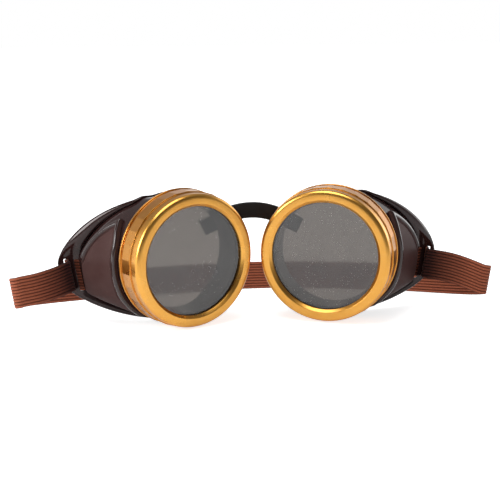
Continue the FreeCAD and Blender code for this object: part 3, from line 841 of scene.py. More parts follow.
@dataclass(frozen=True)
class LensRing:
    """The gold screw ring: rounded bezel, plain collar, faceted grip band, groove and rear lip."""

    FACET_SHARES: ClassVar[tuple[float, ...]] = (-1.0, -0.93, -0.5, 0.0, 0.5, 0.93)
    place: CupPlace
    aperture: float = 24.0
    bevel: float = 1.2
    seat: float = 2.2
    recess: float = 25.3
    recess_back: float = 4.9
    bore: float = 27.0
    bezel: float = 29.4
    band: float = 30.0
    band_front: float = 5.7
    band_back: float = 12.2
    lip: float = 30.2
    depth: float = 15.0
    facets: int = 30
    bezel_round: float = 3.2
    mouth_round: float = 0.35
    bevel_round: float = 0.25
    collar_round: float = 0.15
    band_round: float = 0.3
    groove_round: float = 0.2
    lip_round: float = 0.8
    bore_round: float = 0.3
    inner_round: float = 0.1
    round_steps: int = 7
    grip_lead: float = 1.0
    crease: float = 40.0

    def profile(self) -> list[Pair]:
        """Draw the ring's cross-section.

        Returns:
            Radius and depth of its points in order.
        """
        lip_foot = self.lip - self.lip_round
        lip_front = self.depth - 2 * self.lip_round
        return round_loop([
            (self.aperture + self.bevel, 0.0, self.mouth_round),
            (self.bezel, 0.0, self.bezel_round),
            (self.bezel, self.band_front, self.collar_round),
            (self.band, self.band_front, self.band_round),
            (self.band, self.band_back, self.band_round),
            (lip_foot, self.band_back, self.groove_round),
            (lip_foot, lip_front, self.groove_round),
            (self.lip, lip_front, self.lip_round),
            (self.lip, self.depth, self.lip_round),
            (self.bore, self.depth, self.bore_round),
            (self.bore, self.recess_back, self.inner_round),
            (self.recess, self.recess_back, self.inner_round),
            (self.recess, self.seat, self.inner_round),
            (self.aperture, self.seat, self.inner_round),
            (self.aperture, self.bevel, self.bevel_round),
        ], self.round_steps)

    def build(self, material: Material) -> Piece:
        """Turn the profile round the lens axis, with flats on the grip band.

        Args:
            material: The ring's finish.

        Returns:
            The ring.
        """
        half = 180 / self.facets
        flat = self.band * math.cos(math.radians(half))
        local = [half * share for share in self.FACET_SHARES]
        columns = [(2 * half * facet + turn, turn) for facet in range(self.facets) for turn in local]
        profile, rows = self.profile(), []
        for radius, depth in profile:
            on_band = self.band_front <= depth <= self.band_back and radius > self.bezel
            row = []
            for angle, turn in columns:
                a, z = polar(angle, min(radius, flat / math.cos(math.radians(turn))) if on_band else radius)
                row.append(self.place.at(a, depth, z))
            rows.append(row)
        draft = Draft()
        draft.grid(rows, True, True)
        word = self.place.side.word
        piece = draft.make(f"{word}_ring_shell", self.crease)
        # The grip mark sets where the painted reflection on the grip band begins.
        behind = [smooth_step(depth - self.band_front + self.grip_lead) for _, depth in profile]
        mark(piece, "grip", [share for share in behind for _ in columns])
        dress(piece, material, "ring", f"{word}_lens_ring")
        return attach(piece, f"{word}_ring")


@dataclass(frozen=True)
class Lug:
    """A round lug of the panel: its depth, its height and where it starts inside the cup."""

    depth: float
    height: float
    start: float

    def outline(self, place: CupPlace, radius: float) -> list[Vector]:
        """Draw the lug's inner end, or that of its hole.

        Args:
            place: The cup's place.
            radius: Radius of the lug or the hole.

        Returns:
            Points of the circle.
        """
        turns = [math.radians(15 * step) for step in range(24)]
        return [place.at(self.start, self.depth + radius * math.cos(turn), self.height + radius * math.sin(turn))
                for turn in turns]


@dataclass(frozen=True)
class CupForm:
    """The cup's drawn-out outline, its slanted rim, its slot and its lugs, shared by the pieces that meet it."""

    radius: float = 28.8
    shoulder: float = 15.3
    brow_start: float = 77.0
    cheek_start: float = 84.0
    side_top_start: float = 5.0
    side_low_start: float = 30.0
    side_top: Pair = (33.0, -2.5)
    side_low: Pair = (31.5, -16.8)
    side_round: float = 60.0
    brow_round: float = 34.0
    cheek_round: float = 40.5
    fill_rate: float = 0.06193
    fill_ease: float = 0.000902
    rim_offset: float = 15.5
    rim_slope: float = 0.949
    rim_lean: float = 0.229
    rim_knee: float = -4.4
    rim_soft: float = 1.2
    rim_blur: float = 0.7
    nasal_depth: float = 24.2
    slot_reach: float = 36.55
    slot_centre: float = -10.2
    slot_lean: float = 0.133
    lugs: tuple[Lug, Lug] = (Lug(22.5, 9.0, 25.6), Lug(37.5, -9.0, 28.6))
    columns: tuple[int, int, int, int, int] = (16, 30, 24, 24, 30)

    def fill(self, depth: float) -> float:
        """Return how far the outline is drawn out at a depth."""
        run = depth - self.shoulder
        return max(self.fill_rate * run - self.fill_ease * run * run, 0.0)

    def outline(self, depth: float, grow: float) -> np.ndarray:
        """Sample the cup's outline at a depth.

        Args:
            depth: Distance behind the ring's front.
            grow: Distance outside the cup's outer wall.

        Returns:
            Points (a, z), counter-clockwise from the low end of the temple side.
        """
        fill, radius = self.fill(depth), self.radius + grow

        def drawn(plain: Pair, full: Pair) -> Pair:
            """Return a point drawn out from the circle as far as the depth asks."""
            return tuple(p + (f - p) * fill for p, f in zip(plain, full))

        def bend(full: float) -> float:
            """Return a radius opened as far as the depth asks."""
            return radius + (full + grow - radius) * fill

        low = drawn(polar(-self.side_low_start, radius), (self.side_low[0] + grow, self.side_low[1]))
        top = drawn(polar(-self.side_top_start, radius), (self.side_top[0] + grow, self.side_top[1]))
        brow = polar(self.brow_start, radius)
        nose = (-radius, 0.0)
        cheek = polar(-self.cheek_start, radius)
        stops = [low, top, brow, nose, cheek, low]
        bends = [bend(self.side_round), bend(self.brow_round), radius, radius, bend(self.cheek_round)]
        points: list[Pair] = []
        for index, count in enumerate(self.columns):
            points += arc_points(stops[index], stops[index + 1], bends[index], count)
        return np.array(points)

    def rim(self, a: float, z: float) -> float:
        """Find the face rim: a slanted plane that leans above its knee and levels out at the nose.

        Args:
            a: Distance from the lens axis to the temple.
            z: Height over the lens axis.

        Returns:
            The rim's depth there.
        """
        soft, blur = self.rim_soft, self.rim_blur
        above = soft * math.log1p(math.exp((z - self.rim_knee) / soft))
        slant = self.rim_offset + self.rim_slope * a - self.rim_lean * above
        high, low = max(slant, self.nasal_depth), min(slant, self.nasal_depth)
        return high + blur * math.log1p(math.exp((low - high) / blur))

    def temple(self, depth: float, z: float) -> float:
        """Find how far out the wall stands on the temple side.

        Args:
            depth: Distance behind the ring's front.
            z: Height over the lens axis.

        Returns:
            The wall's distance from the lens axis.
        """
        points = self.outline(depth, 0.0)
        side, brow, cheek = self.columns[0], self.columns[1], self.columns[4]
        run = np.concatenate([points[-cheek:], points[:side + brow + 1]])
        return float(np.interp(z, run[:, 1], run[:, 0]))


@dataclass(frozen=True)
class Wall:
    """One face of the cup's wall, as outlines at a row of depths."""

    END: ClassVar[float] = 58.0
    SLICES: ClassVar[int] = 110
    form: CupForm
    depths: np.ndarray
    outlines: np.ndarray

    @classmethod
    def drawn(cls, form: CupForm, grow: float) -> "Wall":
        """Draw a face of the wall, a distance outside the outer one."""
        depths = np.linspace(form.shoulder, cls.END, cls.SLICES)
        return cls(form, depths, np.array([form.outline(depth, grow) for depth in depths]))

    def at(self, column: int, depth: float) -> np.ndarray:
        """Return where one line of the wall stands at a depth."""
        return np.array([np.interp(depth, self.depths, self.outlines[:, column, axis]) for axis in (0, 1)])

    def meet(self, column: int, thick: float) -> float:
        """Find where one line of the wall reaches the rim.

        Args:
            column: Which line.
            thick: How far in front of the rim it stops.

        Returns:
            The depth.
        """
        depths = self.depths
        gaps = [self.form.rim(*spot) - thick - depth for spot, depth in zip(self.outlines[:, column], depths)]
        for index in range(1, len(gaps)):
            if gaps[index] <= 0:
                share = gaps[index - 1] / (gaps[index - 1] - gaps[index])
                return float(depths[index - 1] + (depths[index] - depths[index - 1]) * share)
        return float(depths[-1])


@dataclass(frozen=True)
class EyeCup:
    """The moulded cup: neck, shoulder, flared wall, rounded face flange and strap ear, with its holes."""

    FLANGE_ROWS: ClassVar[tuple[float, ...]] = (
        0.02, 0.06, 0.12, 0.2, 0.3, 0.4, 0.5, 0.6, 0.7, 0.8, 0.88, 0.94, 0.98, 1.0)
    HEM_ROWS: ClassVar[tuple[float, ...]] = (0.06, 0.4, 0.75, 0.96)
    SHOULDER_EDGE: ClassVar[tuple[Pair, ...]] = ((0.6, 0.0), (0.25, 0.1), (0.07, 0.3))
    place: CupPlace
    form: CupForm
    neck_front: float = 5.4
    neck: float = 26.0
    neck_middle: float = 9.0
    neck_bore: float = 23.4
    bore_middle: float = 11.0
    fillet: float = 0.5
    fillet_middle: float = 0.15
    inner_shoulder: float = 26.2
    edge_round: float = 0.3
    wall: float = 1.8
    wall_start: float = 0.6
    wall_rows: int = 16
    inner_start: float = 0.03
    inner_rows: int = 12
    flange_lap: float = 0.2
    flange_brow: float = 41.0
    flange_cheek: float = 43.6
    flange_edge: float = 0.7
    flange_crown: float = 2.5
    crown_share: float = 0.42
    ear_tip: Pair = (40.4, -5.0)
    ear_low: Pair = (37.1, -17.3)
    ear_side: float = 20.0
    ear_swell: float = 0.3
    ear_ease: float = 9.0
    corner_reach: int = 3
    corner_rounds: int = 5
    corner_ease: float = 0.5
    slot_width: float = 1.9
    slot_height: float = 14.4
    slot_round: float = 0.5
    slot_front: float = 41.0
    slot_cut: float = 20.0
    bar: float = 1.6
    window: float = 2.0
    vents: int = 3
    vent_low: float = -13.0
    vent_pitch: float = 5.5
    vent_height: float = 2.2
    vent_span: Pair = (25.0, 33.0)
    vent_round: float = 0.9
    vent_inside: float = 22.0
    vent_cut: float = 22.0
    lug_hole: float = 1.45
    lug_cut: float = 20.0
    tab_low: Pair = (4.0, 8.8)
    tab_high: Pair = (21.3, 19.2)
    tab_front: float = 26.5
    tab_cut: float = 2.4
    tuck: float = 1.5
    tuck_front: Pair = (62.0, 14.0)
    tuck_back: Pair = (132.0, 30.0)
    tuck_start: float = 0.4
    tuck_run: float = 7.0

    def tucked(self, a: float, b: float, z: float) -> Triple:
        """Draw a point of the wall down a little over the brow, towards the rim.

        Args:
            a: The point's distance to the temple.
            b: Its depth.
            z: Its height.

        Returns:
            The point moved.
        """
        degrees = math.degrees(math.atan2(z, a))
        (front, front_run), (back, back_run) = self.tuck_front, self.tuck_back
        over = smooth_step((degrees - front) / front_run) * smooth_step((back - degrees) / back_run)
        return a, b, z - self.tuck * over * smooth_step((b - self.form.shoulder - self.tuck_start) / self.tuck_run)

    def flange_outline(self) -> np.ndarray:
        """Draw the flange's outline, column for column with the wall, its ear corners eased.

        Returns:
            Points (a, z).
        """
        form, radius = self.form, self.form.radius + self.flange_lap
        brow = polar(form.brow_start, radius)
        cheek = polar(-form.cheek_start, radius)
        side, over, nose_top, nose_low, under = form.columns
        start, end = np.array(self.ear_low), np.array(self.ear_tip)
        points = [tuple(start + (end - start) * index / side) for index in range(side)]
        points += arc_points(self.ear_tip, brow, self.flange_brow, over)
        points += arc_points(brow, (-radius, 0.0), radius, nose_top)
        points += arc_points((-radius, 0.0), cheek, radius, nose_low)
        points += arc_points(cheek, self.ear_low, self.flange_cheek, under)
        spots = np.array(points)
        near = np.zeros(len(spots))
        for corner in (0, side):
            for step in range(-self.corner_reach, self.corner_reach + 1):
                near[(corner + step) % len(spots)] = 1.0
        for _ in range(self.corner_rounds):
            eased = (np.roll(spots, 1, 0) + np.roll(spots, -1, 0)) / 2
            spots = spots + (eased - spots) * (self.corner_ease * near[:, None])
        return spots

    def neck_lines(self) -> tuple[list[Pair], list[Pair]]:
        """Trace the turned part of the section.

        Returns:
            Radius and depth of its points outside, up to the wall, and inside, from the wall on.
        """
        form, edge = self.form, self.edge_round
        floor = form.shoulder + self.wall
        outside = [
            (self.neck_bore + edge, self.neck_front),
            (self.neck - edge, self.neck_front),
            (self.neck, self.neck_front + edge),
            (self.neck, self.neck_middle),
            (self.neck, form.shoulder - self.fillet),
            (self.neck + self.fillet_middle, form.shoulder - self.fillet_middle),
            (self.neck + self.fillet, form.shoulder),
        ]
        outside += [(form.radius - inset, form.shoulder + drop) for inset, drop in self.SHOULDER_EDGE]
        inside = [
            (self.inner_shoulder, floor),
            (self.neck_bore + edge, floor),
            (self.neck_bore, floor - edge),
            (self.neck_bore, self.bore_middle),
            (self.neck_bore, self.neck_front + edge),
        ]
        return outside, inside

    def flange_line(self, foot: np.ndarray, edge: np.ndarray) -> list[Triple]:
        """Trace the flange's front, swollen between foot and edge, and flatter by the strap's slot.

        Args:
            foot: Where the flange leaves the wall.
            edge: Its outline's point.

        Returns:
            Local points (a, b, z).
        """
        form, line = self.form, []
        crown = min(self.flange_crown, self.crown_share * float(np.hypot(*(edge - foot))))
        for share in self.FLANGE_ROWS:
            a, z = foot + (edge - foot) * share
            raised = 1.0
            if a > self.ear_side:
                raised = smooth_step((abs(z - form.slot_centre) - self.slot_height / 2) / self.ear_ease)
            arch = math.sqrt(max(1 - (2 * share - 1) ** 2, 0.0))
            swell = (self.ear_swell + (crown - self.ear_swell) * raised) * arch
            line.append((a, form.rim(a, z) - self.flange_edge - swell, z))
        line.append((edge[0], form.rim(*edge) - self.edge_round, edge[1]))
        return line

    def column(self, index: int, edge: np.ndarray, outside: Wall, inside: Wall) -> list[Triple]:
        """Trace one closed line round the cup's section.

        Args:
            index: Which column.
            edge: The flange outline's point.
            outside: The outer wall.
            inside: The inner wall.

        Returns:
            Local points (a, b, z).
        """
        form = self.form
        a, z = outside.outlines[0][index]
        angle = math.atan2(z, a)
        turn = (math.cos(angle), math.sin(angle))
        before, after = self.neck_lines()
        line = [(turn[0] * radius, b, turn[1] * radius) for radius, b in before]
        root = outside.meet(index, self.flange_edge)
        for share in np.linspace(0.0, 1.0, self.wall_rows):
            depth = form.shoulder + self.wall_start + (root - form.shoulder - self.wall_start) * share
            a, z = outside.at(index, depth)
            line.append((a, depth, z))
        line += self.flange_line(outside.at(index, root), edge)
        inner_root = inside.meet(index, 0.0)
        hem = inside.at(index, inner_root)
        for share in self.HEM_ROWS:
            a, z = edge + (hem - edge) * share
            line.append((a, form.rim(a, z), z))
        for share in np.linspace(self.inner_start, 1.0, self.inner_rows):
            depth = inner_root + (form.shoulder + self.wall - inner_root) * share
            a, z = inside.at(index, depth)
            line.append((a, depth, z))
        return line + [(turn[0] * radius, b, turn[1] * radius) for radius, b in after]

    def holes(self) -> Piece:
        """Draw what is cut out: strap slot and window, vents, lug holes and the bridge's slot.

        Returns:
            The cutter.
        """
        draft, form, at = Draft(), self.form, self.place.at
        rear, temple = self.place.rear, self.place.temple
        half, lean = self.slot_height / 2, form.slot_lean * self.slot_height / 2
        inboard = form.slot_reach - self.slot_width / 2 - self.bar - self.window / 2
        for reach, width in ((form.slot_reach, self.slot_width), (inboard, self.window)):
            corners = round_loop([
                (reach - lean - width / 2, form.slot_centre - half, self.slot_round),
                (reach - lean + width / 2, form.slot_centre - half, self.slot_round),
                (reach + lean + width / 2, form.slot_centre + half, self.slot_round),
                (reach + lean - width / 2, form.slot_centre + half, self.slot_round)])
            draft.prism([at(a, self.slot_front, z) for a, z in corners], rear * (self.slot_cut * MM))
        for index in range(self.vents):
            low = self.vent_low + self.vent_pitch * index
            first, last = self.vent_span
            corners = round_box((first, low), (last, low + self.vent_height), self.vent_round)
            draft.prism([at(self.vent_inside, b, z) for b, z in corners], temple * (self.vent_cut * MM))
        for lug in form.lugs:
            draft.prism(lug.outline(self.place, self.lug_hole), temple * (self.lug_cut * MM))
        opening = round_box(self.tab_low, self.tab_high, 0.0)
        draft.prism([self.place.design(x, self.tab_front, z) for x, z in opening], Vector((0, self.tab_cut * MM, 0)))
        return draft.make(f"{self.place.side.word}_cup_holes")

    def build(self, material: Material) -> Piece:
        """Build the cup as one closed skin and cut its holes.

        Args:
            material: The cup's finish.

        Returns:
            The cup.
        """
        outside, inside = Wall.drawn(self.form, 0.0), Wall.drawn(self.form, -self.wall)
        columns = []
        for index, edge in enumerate(self.flange_outline()):
            line = self.column(index, edge, outside, inside)
            columns.append([self.place.at(*self.tucked(*spot)) for spot in line])
        draft = Draft()
        draft.grid(columns, True, True)
        word = self.place.side.word
        piece = draft.make(f"{word}_cup_shell")
        carve(piece, self.holes())
        dress(piece, material, "cup", f"{word}_eye_cup")
        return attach(piece, f"{word}_cup")


@dataclass(frozen=True)
class VentCover:
    """The satin temple panel with a raised bead along its front and top edges, on two lugs."""

    BEAD_ROWS: ClassVar[tuple[float, ...]] = (
        0.0, 0.05, 0.14, 0.28, 0.5, 0.8, 1.15, 1.5, 1.8, 2.05, 2.2, 2.3, 2.45, 2.65, 2.9, 3.2, 3.5)
    EDGE_ROWS: ClassVar[tuple[float, ...]] = (0.0, 0.05, 0.14, 0.28, 0.55, 1.0)
    place: CupPlace
    form: CupForm
    front: float = 17.2
    low: float = -25.5
    bend: float = 9.0
    bend_soft: float = 3.0
    peak: Pair = (21.5, 17.5)
    back_top: Pair = (41.6, -1.0)
    back_low: Pair = (40.6, -16.5)
    top_swell: float = 2.6
    swell_start: float = 0.3
    swell_run: float = 0.7
    gap: float = 0.15
    thick: float = 1.25
    edge_turn: float = 0.55
    edge_skin: float = 0.35
    edge_rise: float = 0.65
    bead: float = 0.9
    bead_width: float = 2.3
    bead_power: float = 2.6
    groove: float = 0.4
    groove_half: float = 0.55
    taper: float = 2.0
    width: float = 22.0
    height: float = 46.0
    middle_columns: int = 18
    middle_span: Pair = (0.2, 0.92)
    middle_rows: int = 36
    top_start: float = 0.03
    top_sample: float = 0.97
    edge_samples: int = 30
    slope_step: float = 0.2
    lug: float = 1.3
    lug_overlap: float = 0.6
    crease: float = 40.0

    def front_edge(self, share: float) -> np.ndarray:
        """Follow the front edge from its foot over the bend to the peak.

        Args:
            share: Share of the way along the edge.

        Returns:
            A point (b, z) of the side view.
        """
        foot, knee = np.array((self.front, self.low)), np.array((self.front, self.bend))
        peak, soft = np.array(self.peak), self.bend_soft
        first, second = float(np.hypot(*(knee - foot))), float(np.hypot(*(peak - knee)))
        run = share * (first + second)
        if run < first - soft:
            return foot + (knee - foot) * (run / first)
        if run > first + soft:
            return knee + (peak - knee) * ((run - first) / second)
        t = (run - first + soft) / (2 * soft)
        start, end = knee + (foot - knee) * (soft / first), knee + (peak - knee) * (soft / second)
        return start * (1 - t) ** 2 + knee * (2 * t * (1 - t)) + end * t * t

    def spot(self, u: float, v: float) -> np.ndarray:
        """Find a point of the side view.

        Args:
            u: Share of the way from front to back.
            v: Share of the way from foot to top edge.

        Returns:
            The point (b, z).
        """
        top, low, peak = np.array(self.back_top), np.array(self.back_low), np.array(self.peak)
        back = low + (top - low) * v
        chord = top - peak
        outward = np.array((-chord[1], chord[0])) / np.hypot(*chord)
        swell = self.top_swell * 4 * u * (1 - u) * smooth_step((v - self.swell_start) / self.swell_run)
        return self.front_edge(v) * (1 - u) + back * u + outward * swell

    @staticmethod
    def edge_distance(spot: np.ndarray, line: np.ndarray) -> float:
        """Measure a point's distance from an open line.

        Args:
            spot: The point.
            line: Points of the line.

        Returns:
            The distance.
        """
        starts, ends = line[:-1], line[1:]
        runs = ends - starts
        share = np.clip(((spot - starts) * runs).sum(1) / (runs * runs).sum(1), 0, 1)
        return float(np.hypot(*(starts + runs * share[:, None] - spot).T).min())

    def lift(self, spot: np.ndarray, beaded: np.ndarray, plain: np.ndarray) -> Pair:
        """Raise the outer face: a skin with rounded edges, the bead, and the groove beside it.

        Args:
            spot: A point of the side view.
            beaded: The edges with the bead.
            plain: The other edges.

        Returns:
            The height over the cup wall, and how much of it is bead.
        """
        near, far = self.edge_distance(spot, beaded), self.edge_distance(spot, plain)
        turn = max(1 - min(near, far) / self.edge_turn, 0.0)
        skin = self.thick * (self.edge_skin + self.edge_rise * math.sqrt(max(1 - turn ** 2, 0.0)))
        half = self.bead_width / 2
        crown = math.sqrt(max(1 - abs((near - half) / half) ** self.bead_power, 0.0))
        inside = (near - self.bead_width - self.groove_half) / self.groove_half
        groove = self.groove * max(1 - inside ** 2, 0.0)
        taper = smooth_step(far / self.taper)
        return self.gap + skin + (self.bead * crown - groove) * taper, crown * taper

    def levels(self, u: float, top: np.ndarray) -> np.ndarray:
        """Set the panel's rows at one place between front and back, close together along the bead.

        Args:
            u: Share of the way from front to back.
            top: The top edge.

        Returns:
            Levels from foot to top edge, each a share of the height.
        """
        rate = self.edge_distance(self.spot(u, self.top_sample), top) / (1 - self.top_sample)
        low = [distance / self.height for distance in self.EDGE_ROWS]
        high = [1 - distance / rate for distance in self.BEAD_ROWS[::-1]]
        return np.concatenate([low, np.linspace(low[-1], high[0], self.middle_rows)[1:-1], high])

    def outward(self, b: float, z: float) -> np.ndarray:
        """Find the way straight out of the cup's wall.

        Args:
            b: Depth.
            z: Height.

        Returns:
            A unit direction (a, b, z).
        """
        step, wall = self.slope_step, self.form.temple
        slope_b = (wall(b + step, z) - wall(b - step, z)) / (2 * step)
        slope_z = (wall(b, z + step) - wall(b, z - step)) / (2 * step)
        normal = np.array((1.0, -slope_b, -slope_z))
        return normal / np.linalg.norm(normal)

    def shell(self, draft: Draft) -> list[float]:
        """Draw the panel's outer and inner faces and the edge between them.

        Args:
            draft: The mesh being drawn up.

        Returns:
            How much each outer point is bead.
        """
        us = [distance / self.width for distance in self.BEAD_ROWS]
        us += list(np.linspace(*self.middle_span, self.middle_columns))
        us += [1 - distance / self.width for distance in self.EDGE_ROWS[::-1]]
        shares = np.linspace(0, 1, self.edge_samples)
        top = np.array([self.spot(share, 1.0) for share in shares])
        onward = [self.spot(share, 1.0) for share in np.linspace(self.top_start, 1, self.edge_samples)]
        beaded = np.array([self.front_edge(share) for share in shares] + onward)
        plain = np.array([self.back_top, self.back_low, (self.front, self.low)])
        levels = np.array([self.levels(u, top) for u in us]).T
        outer, inner, rubbed = [], [], []
        for level in levels:
            tops, feet = [], []
            for u, v in zip(us, level):
                b, z = spot = self.spot(u, v)
                base, normal = np.array((self.form.temple(b, z), b, z)), self.outward(b, z)
                lift, bead = self.lift(spot, beaded, plain)
                rubbed.append(bead)
                tops.append(self.place.at(*(base + normal * lift)))
                feet.append(self.place.at(*(base + normal * self.gap)))
            outer.append(tops)
            inner.append(feet)
        first = draft.grid(outer, False, False)
        second = draft.grid([row[::-1] for row in inner], False, False)
        rows, count = levels.shape
        rim = [(0, j) for j in range(count)] + [(i, count - 1) for i in range(1, rows)]
        rim += [(rows - 1, j) for j in range(count - 2, -1, -1)] + [(i, 0) for i in range(rows - 2, 0, -1)]
        for here, there in zip(rim, rim[1:] + rim[:1]):
            draft.face((first + here[0] * count + here[1], second + here[0] * count + count - 1 - here[1],
                        second + there[0] * count + count - 1 - there[1], first + there[0] * count + there[1]))
        return rubbed

    def build(self, material: Material) -> Piece:
        """Build the panel as one closed shell with its lugs.

        Args:
            material: The panel's finish.

        Returns:
            The panel.
        """
        draft = Draft()
        rubbed = self.shell(draft)
        for lug in self.form.lugs:
            reach = self.form.temple(lug.depth, lug.height) + self.gap + self.lug_overlap
            draft.prism(lug.outline(self.place, self.lug), self.place.temple * ((reach - lug.start) * MM))
        word = self.place.side.word
        piece = draft.make(f"{word}_panel_shell", self.crease)
        mark(piece, "bead", rubbed)
        dress(piece, material, "cover", f"{word}_vent_cover")
        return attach(piece, f"{word}_cup")


@dataclass(frozen=True)
class NoseBridge:
    """One half of the flexible arched strip, from the middle to its stopped tab."""

    place: CupPlace
    front: float = 26.8
    thick: float = 1.8
    height: float = 7.2
    section_round: float = 0.6
    section_steps: int = 5
    crown: float = 16.8
    radius: float = 29.7
    bend: float = 26.0
    tab: float = 10.77
    rows: int = 44
    stop: float = 2.2
    stop_length: float = 1.4
    stop_lead: float = 0.05
    stop_rise: float = 0.15
    stop_round: float = 0.2
    stop_bevel: float = 0.15
    flex_start: float = 2.0
    flex_end: float = 11.5
    crease: float = 45.0

    def line(self, run: float) -> tuple[Pair, Pair]:
        """Follow the strip's centre line in the front view.

        Args:
            run: Length from the middle.

        Returns:
            The point and the heading there.
        """
        turn = math.radians(self.bend)
        arc = self.radius * turn
        angle = min(run / self.radius, turn)
        x = self.radius * math.sin(angle)
        z = self.crown - self.radius * (1 - math.cos(angle))
        extra = max(run - arc, 0.0)
        heading = (math.cos(angle), -math.sin(angle))
        return (x + extra * heading[0], z + extra * heading[1]), heading

    def build(self, material: Material) -> Piece:
        """Sweep the rounded strip along its line.

        Args:
            material: The strip's finish.

        Returns:
            The half.
        """
        total = self.radius * math.radians(self.bend) + self.tab
        stop_front, deep = total - self.stop_length, self.thick + self.stop
        marks = [(run, self.thick, 0.0) for run in np.linspace(0.0, stop_front - self.stop_lead, self.rows)]
        marks += [(stop_front, self.thick, 0.0), (stop_front + self.stop_rise, deep, 0.0),
                  (total - self.stop_round, deep, 0.0), (total, deep, self.stop_bevel)]
        rows, half = [], self.height / 2
        for run, depth, slim in marks:
            (x, z), heading = self.line(run)
            section = round_box((slim, slim - half), (depth - slim, half - slim), self.section_round,
                                self.section_steps)
            rows.append([self.place.design(x - heading[1] * h, self.front + d, z + heading[0] * h)
                         for d, h in section])
        draft = Draft()
        draft.sweep(rows)
        word = self.place.side.word
        piece = draft.make(f"{word}_bridge_half", self.crease)
        dress(piece, material, "bridge", "nose_bridge")
        middle = self.place.design(self.flex_start, self.front, self.crown)
        end = self.place.design(self.flex_end, self.front, self.crown)
        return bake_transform(piece)


@dataclass(frozen=True)
class Station:
    """One cross-section of the strap: place, heading in plan, lean, and run along the strap."""

    point: Vector
    heading: float
    lean: Vector
    run: float


